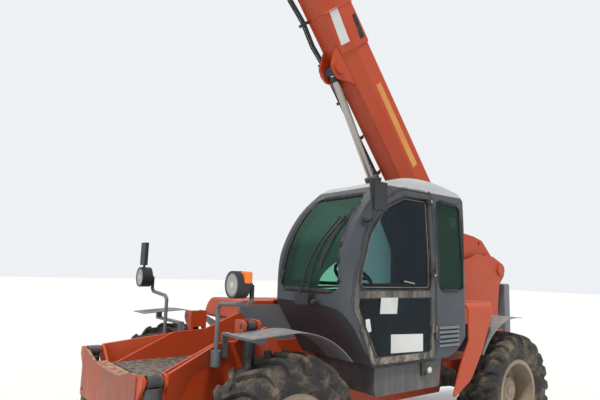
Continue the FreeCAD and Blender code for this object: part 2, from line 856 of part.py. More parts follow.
def stabiliser_leg():
    """The left stabiliser leg: an arm on a fore-and-aft pin, with a foot plate under its end."""
    rows = [
        (leg_pivot_y - 40, leg_pivot_z + 45, 40), (leg_pin_y - 120, leg_pin_z + 30, 60),
        (leg_foot_y + 40, leg_pin_z - 60, 30), (leg_foot_y + 40, foot_bottom + 20),
        (leg_foot_y - 160, foot_bottom + 20), (leg_pivot_y + 60, leg_pivot_z - 80, 80),
        (leg_pivot_y - 45, leg_pivot_z - 45, 40),
    ]
    arm = prism("YZ", rows, leg_x - leg_half, leg_x + leg_half)
    ear = [
        (leg_pin_y - 70, leg_pin_z - 60), (leg_pin_y + 70, leg_pin_z - 60), (leg_pin_y + 50, leg_pin_z + 50, 45),
        (leg_pin_y - 50, leg_pin_z + 50, 45),
    ]
    ears = [prism("YZ", ear, x, x + leg_ear) for x in (leg_x - leg_half, leg_x + leg_half - leg_ear)]
    inner = leg_half - leg_ear
    slot = box(leg_x - inner, leg_x + inner, leg_pin_y - 90, leg_pin_y + 90, leg_pin_z - 75, leg_pin_z + 90)
    foot = box(leg_x - leg_foot_x, leg_x + leg_foot_x, leg_foot_y - 180, leg_foot_y + 100,
               foot_bottom, foot_bottom + 22)
    hole = fore_and_aft(leg_pivot_y, leg_pivot_z, leg_x - 200, leg_x + 200, leg_pin + seat_gap)
    return fuse([fuse([arm] + ears).cut(slot), foot]).cut(hole)


def stay_points():
    """Top pin and lower eye of the left stabiliser cylinder."""
    return V(leg_x, stay_top_y, stay_top_z), V(leg_x, leg_pin_y, leg_pin_z)


def stay_barrel():
    """The left stabiliser cylinder's barrel, hung from the clevis."""
    top, eye = stay_points()
    run = eye.sub(top).normalize()
    barrel = rod(top.add(V(run).multiply(40)), top.add(V(run).multiply(stay_barrel_length)), stay_barrel_radius)
    ring = fore_and_aft(top.y, top.z, leg_x - 50, leg_x + 50, 46)
    bore = rod(top.add(V(run).multiply(90)), eye, stay_rod_radius + seat_gap)
    hole = fore_and_aft(top.y, top.z, leg_x - 90, leg_x + 90, stay_pin + seat_gap)
    return fuse([barrel, ring]).cut(bore).cut(hole)


def stay_rod():
    """The left stabiliser cylinder's rod and eye."""
    top, eye = stay_points()
    run = eye.sub(top).normalize()
    bar = rod(eye.sub(V(run).multiply(stay_rod_length)), eye, stay_rod_radius)
    ring = fore_and_aft(eye.y, eye.z, leg_x - stay_eye_half, leg_x + stay_eye_half, 38)
    return fuse([bar, ring])


# Cab

def cab_solid(inset):
    """The cab's form, made smaller all round by an inset: side view, plan and front view crossed."""
    back = cab_rear - 20
    side_start = (cab_front - 15, 1500)
    side_steps = [
        (cab_front - 15, cab_waist), (935, 2020, 610, 2437), (530, 2500, 430, 2548),
        (60, cab_top, -400, 2540), (-520, 2500, back, 2400), (back, 1300),
        (cab_rear + 80, 1155, -240, cab_floor), (cab_chin, cab_floor),
    ]
    side = curved_face("XZ", side_start, side_steps, 0)
    plan_rows = [
        (cab_rear, cab_inner, 40), (cab_front, cab_inner, 60), (cab_front + 5, 650, 3000),
        (cab_front - 50, cab_outer, 130), (cab_rear, cab_outer, 60),
    ]
    plan = rounded_face("XY", plan_rows, 0)
    low = cab_floor - 50
    high = cab_top + 30 - inset
    left = cab_outer - inset
    right = cab_inner + inset
    front_rows = [
        (right, low), (left, low), (left, 1885), (left - 50, high, 100 - inset),
        (right + 30, high, 100 - inset), (right, 1885),
    ]
    front = rounded_face("YZ", front_rows, 0)
    if inset > 0:
        side = side.makeOffset2D(-inset)
        plan = plan.makeOffset2D(-inset)
    across = side.extrude(V(0, 2000, 0))
    upward = plan.extrude(V(0, 0, 3000))
    ahead = front.translated(V(-1000, 0, 0)).extrude(V(3000, 0, 0))
    return across.common(upward).common(ahead)


def door_opening(margin):
    """The doorway's outline in side view, grown by a margin."""
    rows = [
        (door_rear - margin, cab_floor + 10 - margin, 30), (cab_chin - 10 + margin, cab_floor + 10 - margin, 40),
        (905 + margin, 1480, 60), (880 + margin, 1750, 300), (780 + margin, 2060, 300),
        (560 + margin, 2350 + margin, 200), (300 + margin, roof_split - 15 + margin, 120),
        (door_rear - margin, roof_split - 15 + margin, 40),
    ]
    return prism("XZ", rows, cab_outer - 120, cab_outer + 100)


def side_window(margin):
    """The quarter window behind the door."""
    rows = [
        (cab_rear + 60 - margin, cab_waist + 30 - margin, 40), (door_rear - 60 + margin, cab_waist + 30 - margin, 40),
        (door_rear - 60 + margin, 2430 + margin, 40), (cab_rear + 60 - margin, 2400 + margin, 60),
    ]
    return prism("XZ", rows, cab_outer - 120, cab_outer + 100)


def inner_window(margin):
    """The long window on the boom side."""
    rows = [
        (cab_rear + 80 - margin, cab_waist - margin, 40), (900 + margin, cab_waist - margin, 60),
        (800 + margin, 2030, 200), (560 + margin, 2330 + margin, 150), (400 + margin, 2430 + margin, 80),
        (cab_rear + 80 - margin, 2430 + margin, 40),
    ]
    return prism("XZ", rows, 100, 500)


def screen_window(margin):
    """The windscreen, cut from the front."""
    rows = [
        (330 - margin, cab_waist + 15 - margin, 50), (1060 + margin, cab_waist + 15 - margin, 50),
        (1010 + margin, 2415 + margin, 80), (370 - margin, 2415 + margin, 80),
    ]
    return prism("YZ", rows, 480, 1300)


def rear_window(margin):
    """The rear window."""
    rows = [
        (330 - margin, cab_waist + 60 - margin, 40), (1080 + margin, cab_waist + 60 - margin, 40),
        (1060 + margin, 2380 + margin, 50), (350 - margin, 2380 + margin, 50),
    ]
    return prism("YZ", rows, -900, -400)


def cab_shell():
    """The cab's walls as one hollow shell with every opening cut."""
    shell = cab_solid(0).cut(cab_solid(cab_wall))
    for opening in (door_opening(door_gap), side_window(0), inner_window(0), screen_window(0), rear_window(0)):
        shell = shell.cut(opening)
    return shell


def above_seam():
    """All that lies over the seam between the posts and the roof panel."""
    return box(cab_rear - 400, cab_front + 400, 0, cab_outer + 250, roof_split, cab_top + 200)


def cab_frame(shell):
    """Posts, lower panels and floor, up to the roof's seam."""
    frame = shell.cut(above_seam())
    halves = [hinge_half(z - hinge_height, z - seat_gap, -1) for z in hinge_levels]
    return fuse([frame] + halves)


def cab_roof(shell):
    """The pale roof panel above the seam."""
    return shell.common(above_seam())


def cab_glass():
    """Windscreen, rear, quarter and boom-side panes."""
    layer = cab_solid(glass_inset).cut(cab_solid(glass_inset + glass_thick))
    panes = []
    fit = -seat_gap
    for opening in (screen_window(fit), rear_window(fit), side_window(fit), inner_window(fit)):
        panes.append(layer.common(opening))
    return Part.makeCompound(panes)


def hinge_half(low, high, way):
    """Half a door hinge: a barrel on the hinge line with a leaf towards the door or the cab."""
    x = door_rear - door_gap / 2
    y = cab_outer + hinge_radius
    barrel = Part.makeCylinder(hinge_radius, high - low, V(x, y, low))
    ends = sorted((x, x + way * hinge_leaf))
    leaf = box(ends[0], ends[1], cab_outer - 2, cab_outer + 6, low, high)
    return fuse([barrel, leaf])


def door_frame():
    """The door: a ring with a waist rail, in the cab's own curve."""
    layer = cab_solid(0).cut(cab_solid(door_thick))
    slab = layer.common(door_opening(0))
    rail = box(-200, 1100, 700, 1300, cab_waist - 30, cab_waist + 25)
    openings = door_opening(-door_frame_width).cut(rail)
    return fuse([slab.cut(openings)] + [hinge_half(z, z + hinge_height, 1) for z in hinge_levels])


def door_glass():
    """Upper and lower panes of the door."""
    layer = cab_solid(glass_inset).cut(cab_solid(glass_inset + glass_thick))
    rail = box(-200, 1100, 700, 1300, cab_waist - 30 - seat_gap, cab_waist + 25 + seat_gap)
    openings = door_opening(-door_frame_width - seat_gap).cut(rail)
    return layer.common(openings)


def cab_interior():
    """Seat base, dash, steering column and wheel on the cab's floor."""
    floor = cab_floor + cab_wall
    base = prism("XZ", [(-220, floor), (90, floor), (60, 1400, 30), (-380, 1400, 30)], 480, 930)
    dash = prism("XZ", [(600, 1440), (cab_chin + 40, 1300, 60), (900, 1500, 40), (780, 1580, 40), (620, 1540, 30)], 380, 980)
    column = rod(V(760, 700, 1400), V(500, 700, 1690), 32)
    foot = box(cab_chin - 100, cab_chin - 40, 640, 760, floor, 1480)
    turns = [2 * math.pi * k / 18 for k in range(18)]
    slices = [(16 * math.sin(a), 190 + 16 * math.cos(a)) for a in turns[::3]]
    wheel = polyhedron([[round_the_axle(y, r, turn) for turn in turns] for y, r in slices])
    wheel.Placement = FreeCAD.Placement(V(490, 700, 1700), FreeCAD.Rotation(ALONG_Y, V(-0.67, 0, 0.74)))
    spoke = rod(V(490, 520, 1700), V(490, 880, 1700), 14)
    hub = rod(V(500, 700, 1690), V(480, 700, 1712), 45)
    return fuse([base]), fuse([dash, column, foot, spoke, hub, wheel])


def seat_pads():
    """Seat cushion and backrest as plain closed forms."""
    seat = 1400 + seat_gap
    cushion = prism("XZ", [(-230, seat, 30), (170, seat, 40), (180, 1520, 50), (-230, 1500, 30)], 470, 940)
    back = prism("XZ", [(-370, seat, 20), (-235, seat, 20), (-330, 2080, 50), (-440, 2080, 50)], 490, 920)
    return Part.makeCompound([cushion, back])


# Bodywork

def side_panel():
    """The orange panel behind the cab, rolled over at its top and tapering to a tip below."""
    wheel = -wheelbase / 2
    rows = [
        (cab_rear - panel_gap, panel_top + 50), (-1300, panel_top + 50), (-1300, 1380, 60), (wheel + 435, 1380, 60),
        (wheel + 495, 1311, 60), (wheel + 635, 1050, 200), (wheel + 825, 800, 200), (wheel + 1115, 655, 20),
        (wheel + 1005, 900, 200), (wheel + 945, 1010, 60), (cab_rear - panel_gap, 1150, 60),
    ]
    section = [
        (frame_half, 1000), (frame_half, panel_top, 60), (panel_outer, panel_top, 70), (panel_outer, 600),
        (panel_outer - panel_wall, 600), (panel_outer - panel_wall, panel_top - panel_wall, 60),
        (frame_half + panel_wall, panel_top - panel_wall, 50), (frame_half + panel_wall, 1000),
    ]
    plan = [
        (-1300, frame_half), (-1290, 930, 40), (-960, panel_outer, 40), (-300, panel_outer), (-300, frame_half),
    ]
    side = prism("XZ", rows, 0, 1300)
    leg = [(-900, 900), (-900, 1400), (-620, 1400), (-620, 900)]
    skin = prism("YZ", section, -1400, -200).common(side).common(prism("XY", plan, 500, 1600))
    stay = prism("XZ", leg, frame_half, frame_half + panel_wall)
    return fuse([skin, stay])


def side_box():
    """The grey locker under the door, with the dark cowl in front of it."""
    front = wheelbase / 2 - 785
    rows = [(-160, 790, 30), (front, 790, 30), (front + 10, cab_floor), (-200, cab_floor)]
    return prism("XZ", rows, frame_half, 1120)


def fender(centre_x, start, end, radius, y0, y1, wall):
    """A mudguard: part of a ring over the wheel, from one angle to another, seen from the left."""
    z = tyre_radius
    outer = Part.makeCylinder(radius + wall, y1 - y0, V(centre_x, y0, z), ALONG_Y)
    inner = Part.makeCylinder(radius, y1 - y0, V(centre_x, y0, z), ALONG_Y)
    far = 2000.0
    wedge = [(centre_x, z)]
    for angle in (start, (start + end) / 2, end):
        turn = math.radians(angle)
        wedge.append((centre_x + far * math.cos(turn), z + far * math.sin(turn)))
    sector = prism("XZ", wedge, y0 - 1, y1 + 1)
    return outer.cut(inner).common(sector)


def front_fenders():
    """Half mudguards over the front wheels, on brackets from the frame."""
    x = wheelbase / 2
    crest = tyre_radius + guard_radius
    rows = [
        (x, crest), (x, crest + guard_wall), (x + guard_tip, crest + guard_wall - guard_drop),
        (x + guard_tip, crest - guard_drop),
    ]
    brow = prism("XZ", rows, 826, 1120)
    guard = fender(x, 90, 138, guard_radius, 826, 1120, guard_wall)
    at = x + 170
    under = crest - guard_drop * 170 / guard_tip
    bracket = box(at - 25, at + 25, frame_half, 960, 1230, 1250)
    post = box(at - 25, at + 25, 930, 960, 1250, under + 2)
    foot = box(at - 25, at + 25, frame_half, frame_half + 20, 1060, 1250)
    left = fuse([guard, brow, bracket, post, foot])
    return both_sides(left)


def rear_fenders():
    """Mudguards over the rear wheels, from the side panel back."""
    x = -wheelbase / 2
    guard = fender(x, 34, 98, 742, 790, 1150, 6)
    bracket = box(x - 25, x + 25, frame_half, 960, 1200, 1220)
    post = box(x - 25, x + 25, 930, 960, 1220, tyre_radius + 743)
    foot = box(x - 25, x + 25, frame_half, frame_half + 20, 900, 1220)
    left = fuse([guard, bracket, post, foot])
    return both_sides(left)


def engine_pod():
    """The fixed tray of the engine pod on the frame's right side."""
    rear, front = pod_tray_rear, pod_tray_front
    rows = [(rear, pod_bottom, 60), (front - 40, pod_bottom, 60), (front, pod_split), (rear, pod_split)]
    outer = prism("XZ", rows, -pod_outer + 20, -frame_half)
    hollow = box(rear + 20, front - 40, -pod_outer + 40, -frame_half - 20, pod_bottom + 20, pod_split + 1)
    wall = prism("XZ", hood_outline(), -pod_inner - hood_wall, -pod_inner + 10)
    wall = wall.cut(box(pod_rear - 1, pod_front + 1, -pod_inner - hood_wall - 1, -pod_inner + 11, pod_top - 10, pod_top + 60))
    bridge = box(rear + 20, front - 40, -pod_inner, -frame_half, 900, pod_split)
    axis = hood_axis()
    knuckles = []
    for x in hood_hinges:
        low = x - 60 - seat_gap
        knuckles.append(rod(V(low, axis.y, axis.z), V(low + 60, axis.y, axis.z), hinge_radius))
        knuckles.append(box(low, low + 60, axis.y - 4, axis.y + 10, pod_top - 40, axis.z))
    return fuse([outer.cut(hollow), wall, bridge] + knuckles)


def hood_outline():
    """Side view of the hood: cut away at both ends for the wheels."""
    return [
        (pod_tray_rear, pod_split), (pod_tray_rear, 1040, 60), (pod_rear + 80, 1210, 60), (pod_rear, 1225, 20),
        (pod_rear, pod_top, 50), (pod_front - 60, pod_top + 30, 40), (pod_front, 1235, 30),
        (pod_front - 130, 1215, 60), (pod_tray_front + 10, 1000, 60), (pod_tray_front, pod_split),
    ]


def hood_axis():
    """The hood's hinge line, along its inner top edge."""
    return V(0, -pod_inner, pod_top + 32)


def hood():
    """The hinged engine hood, an open shell."""
    edge = -pod_inner - hood_wall - swing_gap
    low = pod_split + seat_gap
    solid = prism("XZ", hood_outline(), -pod_outer, edge)
    section = [
        (-pod_outer, low), (edge, low), (edge, pod_top + 40, 20),
        (-pod_outer + 60, pod_top + 40, 70), (-pod_outer, pod_top - 40, 60),
    ]
    form = solid.common(prism("YZ", section, -1500, 1500))
    inner = prism("XZ", hood_outline(), -pod_outer + 20, edge + 1)
    hollow = inner.common(box(pod_tray_rear + 20, pod_tray_front - 20, -2000, 0, pod_split, pod_top - 20))
    top_hollow = box(pod_rear + 20, pod_front - 90, -pod_outer + 20, edge + 1, 1250, pod_top - 20)
    axis = hood_axis()
    leaves = []
    for x in hood_hinges:
        leaves.append(rod(V(x, axis.y, axis.z), V(x + 60, axis.y, axis.z), hinge_radius))
        leaves.append(box(x, x + 60, edge - 60, axis.y, axis.z - 12, axis.z - 4))
        leaves.append(box(x, x + 60, edge - 60, edge - 40, pod_top - 30, axis.z - 4))
    return fuse([form.cut(hollow).cut(top_hollow)] + leaves)


def engine_block():
    """The engine, one plain block across the pod."""
    outer = -pod_outer + 120
    inner = -pod_inner - hood_wall - 20
    return box(pod_tray_rear + 210, pod_tray_front - 140, outer, inner, pod_bottom + 20 + seat_gap, 1180)


def driveline():
    """Gearbox block and the two propeller shafts."""
    gearbox = box(-250, 250, -180, 180, frame_bottom + floor_plate, 765)
    front = rod(V(250, 0, tyre_radius), V(wheelbase / 2 - axle_arch_half - 90, 0, tyre_radius), 35)
    rear = rod(V(-250, 0, tyre_radius), V(-wheelbase / 2 + axle_arch_half + 90, 0, tyre_radius), 35)
    return fuse([gearbox, front, rear])


def levelling_cylinders():
    """Upright cylinders between the front axle and the brackets on the frame."""
    x = wheelbase / 2
    barrel = rod(V(x, level_y, 900), V(x, level_y, level_pin_z - 34), 48)
    stem = rod(V(x, level_y, tyre_radius + axle_pad_half), V(x, level_y, 900), 26)
    reach = level_half + level_ear
    pin = fore_and_aft(level_y, level_pin_z, x - reach, x + reach, 22)
    ring = fore_and_aft(level_y, level_pin_z, x - 30, x + 30, 42)
    return both_sides(fuse([barrel, stem, pin, ring]))


def levelling_brackets():
    """Two ears and a web on each side of the frame, round the top of a levelling cylinder."""
    x = wheelbase / 2
    rows = [
        (frame_half, 1150), (level_y - 10, 1210, 40), (level_y + 45, level_pin_z - 30, 40),
        (level_y + 45, level_pin_z + 45, 40), (frame_half, level_pin_z + 45),
    ]
    hole = fore_and_aft(level_y, level_pin_z, x - 200, x + 200, 22 + seat_gap)
    pieces = [prism("YZ", rows, low, low + level_ear) for low in (x - level_half - level_ear, x + level_half)]
    web = box(x - level_half, x + level_half, frame_half, frame_half + 16, 1200, level_pin_z + 45)
    return both_sides(fuse(pieces + [web]).cut(hole))


def lamps():
    """Work lamps on bent stalks that stand in sleeves, each with a hollow drum."""
    route = [
        V(stalk_x, stalk_y, 1016), V(stalk_x, stalk_y, 1450), V(stalk_x, stalk_y + 40, 1482),
        V(lamp_x - 50, lamp_y - 10, 1500), V(lamp_x - 50, lamp_y + 30, 1530), V(lamp_x - 50, lamp_y + 30, lamp_z),
    ]
    stalk = flat_sided_bar(route, stalk_radius, 8)
    sleeve = rod(V(stalk_x, stalk_y, 1016), V(stalk_x, stalk_y, 1132), sleeve_radius)
    drum = fore_and_aft(lamp_y, lamp_z, lamp_x, lamp_x + 100, lamp_radius)
    recess = fore_and_aft(lamp_y, lamp_z, lamp_x + 100 - lens_recess, lamp_x + 101, lens_radius)
    arm = rod(V(lamp_x - 50, lamp_y + 30, lamp_z), V(lamp_x + 20, lamp_y + 20, lamp_z), 16)
    return both_sides(fuse([stalk, sleeve, drum.cut(recess), arm]))


def lamp_lenses():
    """The lamps' front lenses, let into the drums."""
    back = lamp_x + 100 - lens_recess + seat_gap
    return both_sides(fore_and_aft(lamp_y, lamp_z, back, back + lens_recess - 2, lens_radius - seat_gap))


def mirrors():
    """The cab mirror on its looped arm, with a foot on the front post."""
    pad = box(755, 815, 1100, 1144, 2120, 2180)
    route = [
        V(785, 1138, 2150), V(800, 1235, 2165), V(835, 1235, 2480), V(720, 1235, 2500), V(730, 1235, 2460),
    ]
    arm = flat_sided_bar(route, 9, 8)
    head = box(664, 805, 1215, 1258, 2240, 2468)
    return fuse([pad.cut(cab_solid(0)), arm, head])


def build():
    """Every node's shape, by name."""
    nodes = {}
    corners = (("front_left", 1, 1), ("front_right", 1, -1), ("rear_left", -1, 1), ("rear_right", -1, -1))
    left_knuckle = knuckle()
    cover = tyre()
    for name, end, side in corners:
        centre = V(end * wheelbase / 2, side * tyre_centre_y, tyre_radius)
        nodes["tyre_" + name] = cover.translated(centre)
        nodes["rim_" + name] = rim(centre, side)
        piece = left_knuckle if side > 0 else mirrored(left_knuckle)
        nodes["knuckle_" + name] = piece if end > 0 else piece.mirror(ORIGIN, ALONG_X)
    front = axle()
    nodes["front_axle"] = front
    nodes["rear_axle"] = front.mirror(ORIGIN, ALONG_X)
    nodes["frame_left"] = frame_plate_left()
    nodes["frame_right"] = frame_plate_right()
    nodes["frame_centre"] = frame_centre()
    nodes["boom_mount"] = boom_mount()
    nodes["front_gussets"] = front_gussets()
    nodes["counterweight"] = counterweight()
    nodes["rear_tower"] = rear_tower()
    nodes["boom_outer"] = boom_outer()
    nodes["boom_inner"] = boom_inner()
    nodes["carriage"] = carriage()
    nodes["forks"] = forks()
    nodes["lift_barrel"] = lift_barrel()
    nodes["lift_rod"] = lift_rod()
    nodes["tilt_barrel"] = tilt_barrel()
    nodes["tilt_rod"] = tilt_rod()
    nodes["stabiliser_box"] = stabiliser_box()
    nodes["stabiliser_ears"] = stabiliser_ears()
    leg = stabiliser_leg()
    barrel = stay_barrel()
    bar = stay_rod()
    for name, shape in (("stabiliser_leg", leg), ("stabiliser_barrel", barrel), ("stabiliser_rod", bar)):
        nodes[name + "_left"] = shape
        nodes[name + "_right"] = mirrored(shape)
    shell = cab_shell()
    nodes["cab_frame"] = cab_frame(shell)
    nodes["cab_roof"] = cab_roof(shell)
    nodes["cab_glass"] = cab_glass()
    nodes["door_frame"] = door_frame()
    nodes["door_glass"] = door_glass()
    seat_base, controls = cab_interior()
    nodes["seat_base"] = seat_base
    nodes["controls"] = controls
    nodes["seat_pads"] = seat_pads()
    nodes["side_panel"] = side_panel()
    nodes["side_box"] = side_box()
    nodes["front_fenders"] = front_fenders()
    nodes["rear_fenders"] = rear_fenders()
    nodes["engine_pod"] = engine_pod()
    nodes["engine_block"] = engine_block()
    nodes["hood"] = hood()
    nodes["driveline"] = driveline()
    nodes["levelling_cylinders"] = levelling_cylinders()
    nodes["levelling_brackets"] = levelling_brackets()
    nodes["lamps"] = lamps()
    nodes["lamp_lenses"] = lamp_lenses()
    nodes["mirrors"] = mirrors()
    return nodes


os.makedirs("parts", exist_ok=True)
NODES = build()
NODE_LIST = list(NODES)
for node, shape in NODES.items():
    shape.translated(V(-origin_x, 0, 0)).exportStep("parts/" + node + ".step")
    bounds = shape.BoundBox
    print(node, len(shape.Solids), shape.isValid(), round(shape.Volume / 1e6, 2), "litres",
          [round(v) for v in (bounds.XMin, bounds.XMax, bounds.YMin, bounds.YMax, bounds.ZMin, bounds.ZMax)])
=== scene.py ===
# %% [markdown]
# # A telehandler in worn orange paint
# The solid frame of the machine comes first: its pieces, joints and sizes are already right.
# This lesson gives it finishes, tyres with lugs, a padded seat, pipes, seals and the small things that catch
# the eye.
# Every length is in metres, with X forward, Y to the machine's left and Z up.

# %% Load the frame
import json
import math

import bmesh
import bpy
import numpy as np
from mathutils import Matrix, Vector


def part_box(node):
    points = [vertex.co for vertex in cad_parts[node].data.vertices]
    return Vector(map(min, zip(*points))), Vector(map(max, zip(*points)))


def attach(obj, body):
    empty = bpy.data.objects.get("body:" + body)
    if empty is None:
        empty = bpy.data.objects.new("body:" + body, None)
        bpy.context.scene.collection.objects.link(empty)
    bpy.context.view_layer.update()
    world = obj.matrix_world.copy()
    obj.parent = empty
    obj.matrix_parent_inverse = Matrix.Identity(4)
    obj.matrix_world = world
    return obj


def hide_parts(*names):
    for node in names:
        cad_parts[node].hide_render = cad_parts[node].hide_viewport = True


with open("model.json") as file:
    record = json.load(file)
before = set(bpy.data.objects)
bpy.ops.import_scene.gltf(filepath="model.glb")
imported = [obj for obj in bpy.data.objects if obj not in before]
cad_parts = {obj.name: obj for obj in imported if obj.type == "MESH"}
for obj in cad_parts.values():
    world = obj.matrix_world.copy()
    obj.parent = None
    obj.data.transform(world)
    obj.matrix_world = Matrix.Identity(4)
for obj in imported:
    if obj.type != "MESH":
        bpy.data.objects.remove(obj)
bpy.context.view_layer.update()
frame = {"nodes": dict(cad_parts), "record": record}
nodes = frame["nodes"]
for plain in bpy.data.materials:
    plain.name = "plain_" + plain.name
CORNERS = ("front_left", "front_right", "rear_left", "rear_right")
WHEELS = {corner: np.mean(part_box("tyre_" + corner), axis=0) for corner in CORNERS}
MIDDLE_X = (WHEELS["front_left"][0] + WHEELS["rear_left"][0]) / 2

# %% [markdown]
# ## Shader sums as Python
# A finish is a small formula: dust where the surface faces up, a little noise, a worn edge.
# Wiring Math nodes by hand hides the formula, so one class wraps a socket and gives it the usual operators.
# A finish then reads like arithmetic, and any other node comes from one method.

# %% A socket that can be added and multiplied
class Value:
    """One number that varies over a surface. Sums on it add Math nodes to its finish."""

    def __init__(self, finish, socket):
        self.finish = finish
        self.socket = socket

    def _sum(self, operation, *others):
        return self.finish.node("ShaderNodeMath", {"operation": operation}, dict(enumerate((self, *others))))

    def __add__(self, other):
        return self._sum("ADD", other)

    __radd__ = __add__

    def __sub__(self, other):
        return self._sum("SUBTRACT", other)

    def __rsub__(self, other):
        return self.finish.node("ShaderNodeMath", {"operation": "SUBTRACT"}, {0: other, 1: self})

    def __mul__(self, other):
        return self._sum("MULTIPLY", other)

    __rmul__ = __mul__

    def __pow__(self, other):
        return self._sum("POWER", other)

    def above(self, low, high):
        """0 below low, 1 above high, and a smooth climb between them."""
        settings = {"interpolation_type": "SMOOTHSTEP"}
        inputs = {"Value": self, "From Min": low, "From Max": high}
        return self.finish.node("ShaderNodeMapRange", settings, inputs, "Result")

    def larger(self, other):
        return self._sum("MAXIMUM", other)

    def sine(self):
        return self._sum("SINE")


# %% A finish with one method for every node
class Finish:
    """A material under construction."""

    def __init__(self, name):
        self.material = bpy.data.materials.new(name)
        self.material.use_nodes = True
        self.tree = self.material.node_tree
        self.tree.nodes.clear()
        self.place = self.node("ShaderNodeTexCoord", {}, {}, "Object")

    def node(self, kind, settings, inputs, output=0):
        """Adds a node: its settings first, then the values or links of its sockets. Gives one output back."""
        made = self.tree.nodes.new(kind)
        for key, value in settings.items():
            setattr(made, key, value)
        for key, value in inputs.items():
            if isinstance(value, Value):
                self.tree.links.new(value.socket, made.inputs[key])
            else:
                made.inputs[key].default_value = value
        if output is None:
            return made
        return Value(self, made.outputs[output])

    def noise(self, scale, detail=4.0, rough=0.55, place=None):
        """Smooth random values, 0 to 1, that change about scale times a metre."""
        inputs = {"Vector": place or self.place, "Scale": scale, "Detail": detail, "Roughness": rough}
        return self.node("ShaderNodeTexNoise", {}, inputs, "Fac")

    def stretched(self, x, y, z):
        """Object coordinates scaled along each axis, for streaks and brushed lines."""
        return self.node("ShaderNodeMapping", {}, {"Vector": self.place, "Scale": (x, y, z)})

    def height(self):
        """Height above the floor at rest, in metres."""
        return self.node("ShaderNodeSeparateXYZ", {}, {0: self.place}, "Z")

    def facing_up(self):
        """1 where the surface looks at the sky, 0 where it is upright, below 0 underneath."""
        normal = self.node("ShaderNodeNewGeometry", {}, {}, "Normal")
        return self.node("ShaderNodeSeparateXYZ", {}, {0: normal}, "Z")

    def edges(self, reach):
        """Near 1 on edges, within a reach in metres: there a rounded normal leaves the flat one."""
        rounded = self.node("ShaderNodeBevel", {"samples": 4}, {"Radius": reach})
        flat = self.node("ShaderNodeNewGeometry", {}, {}, "Normal")
        both = {0: rounded, 1: flat}
        alike = self.node("ShaderNodeVectorMath", {"operation": "DOT_PRODUCT"}, both, "Value")
        return (1 - alike).above(0.02, 0.22)

    def mix(self, amount, first, second):
        """A colour that goes from the first to the second as amount goes from 0 to 1."""
        settings = {"data_type": "RGBA"}
        return self.node("ShaderNodeMix", settings, {0: amount, 6: colour(first), 7: colour(second)}, 2)

    def bump(self, height, depth):
        """A normal tilted by a height field, whose full swing is depth metres."""
        return self.node("ShaderNodeBump", {}, {"Height": height, "Distance": depth, "Strength": 1.0})

    def finished(self, **sockets):
        """Ends in a Principled surface. Names use _ for a space."""
        named = {key.replace("_", " "): value for key, value in sockets.items()}
        shader = self.node("ShaderNodeBsdfPrincipled", {}, named)
        self.node("ShaderNodeOutputMaterial", {}, {"Surface": shader}, None)
        return self.material


def colour(value):
    """Three numbers become four; a link stays as it is."""
    if isinstance(value, Value):
        return value
    return (*value[:3], 1.0)


# %% [markdown]
# ## Paint, steel, rubber and glass
# Work machines are dusty above, muddy below, and chipped on their edges.
# Each finish below is one colour first, then two or three masks: slow fading, dust that settles where the
# surface faces up, and wear that follows the edges. Dust is dull, so its mask also moves the roughness.

# %% Paint
DUST = (0.42, 0.34, 0.25)
MUD = (0.23, 0.175, 0.12)
CHIPPED = (0.13, 0.07, 0.045)
SPLASH_FADE = 0.95


def paint(name, base, faded, dull, dusty, worn, splash=1.3):
    """Sprayed paint: slow fading, dust on upward faces and below the splash height, chips along the edges.

    dull is the clean paint's roughness, and dusty and worn say how strong the dust and the chips are.
    """
    f = Finish(name)
    slow = f.noise(1.7, 5).above(0.35, 0.7)
    fine = f.noise(38.0, 6, 0.7)
    streaks = f.noise(6.0, 4, 0.6, f.stretched(3.0, 3.0, 0.35))
    up = f.facing_up().above(0.35, 1.0)
    low = 1 - f.height().above(splash - SPLASH_FADE, splash)
    dust = ((up * 0.75 + 0.16 + low * 0.55) * (fine * 0.5 + streaks).above(0.5, 0.95)) * dusty
    edge = f.edges(0.006) * fine.above(0.42, 0.56) * worn
    tint = f.mix(slow, base, faded)
    tint = f.mix(dust.above(0.0, 1.0), tint, DUST)
    tint = f.mix(edge, tint, CHIPPED)
    rough = dull + dust * 0.45 + (fine - 0.5) * 0.12
    skin = f.bump(f.noise(260.0, 2), 0.0006)
    return f.finished(Base_Color=tint, Roughness=rough, Normal=skin, Coat_Weight=0.05, Coat_Roughness=0.25)


orange_paint = paint("orange_paint", (0.46, 0.044, 0.004), (0.47, 0.064, 0.012), 0.46, 0.24, 0.8)
# A darker, browner copy of the orange for the stabiliser box: its brown is partly real mud and partly painted
# shade.
mud_and_shade_orange = paint("mud_and_shade_orange", (0.36, 0.045, 0.008), (0.20, 0.050, 0.020), 0.52, 0.75, 1.0)
cab_grey = paint("cab_grey", (0.040, 0.048, 0.060), (0.062, 0.070, 0.082), 0.42, 0.35, 0.25)
roof_pale = paint("roof_pale", (0.40, 0.42, 0.43), (0.48, 0.48, 0.47), 0.45, 0.5, 0.2)
dark_steel = paint("dark_steel", (0.030, 0.031, 0.034), (0.055, 0.052, 0.048), 0.5, 0.45, 0.4)
fender_grey = paint("fender_grey", (0.135, 0.150, 0.165), (0.20, 0.21, 0.215), 0.55, 0.6, 0.15)
rim_cream = paint("rim_cream", (0.30, 0.25, 0.18), (0.22, 0.165, 0.11), 0.6, 0.8, 0.6)
side_grey = paint("side_grey", (0.060, 0.062, 0.068), (0.085, 0.082, 0.078), 0.5, 0.6, 0.3)
black_plastic = paint("black_plastic", (0.018, 0.018, 0.020), (0.030, 0.030, 0.032), 0.5, 0.25, 0.0)
door_grey = paint("door_grey", (0.028, 0.033, 0.041), (0.050, 0.053, 0.058), 0.5, 1.0, 0.5, 2.05)
label_white = paint("label_white", (0.70, 0.71, 0.70), (0.58, 0.57, 0.52), 0.5, 0.35, 0.0)
label_yellow = paint("label_yellow", (0.66, 0.30, 0.06), (0.60, 0.17, 0.04), 0.5, 0.5, 0.0)
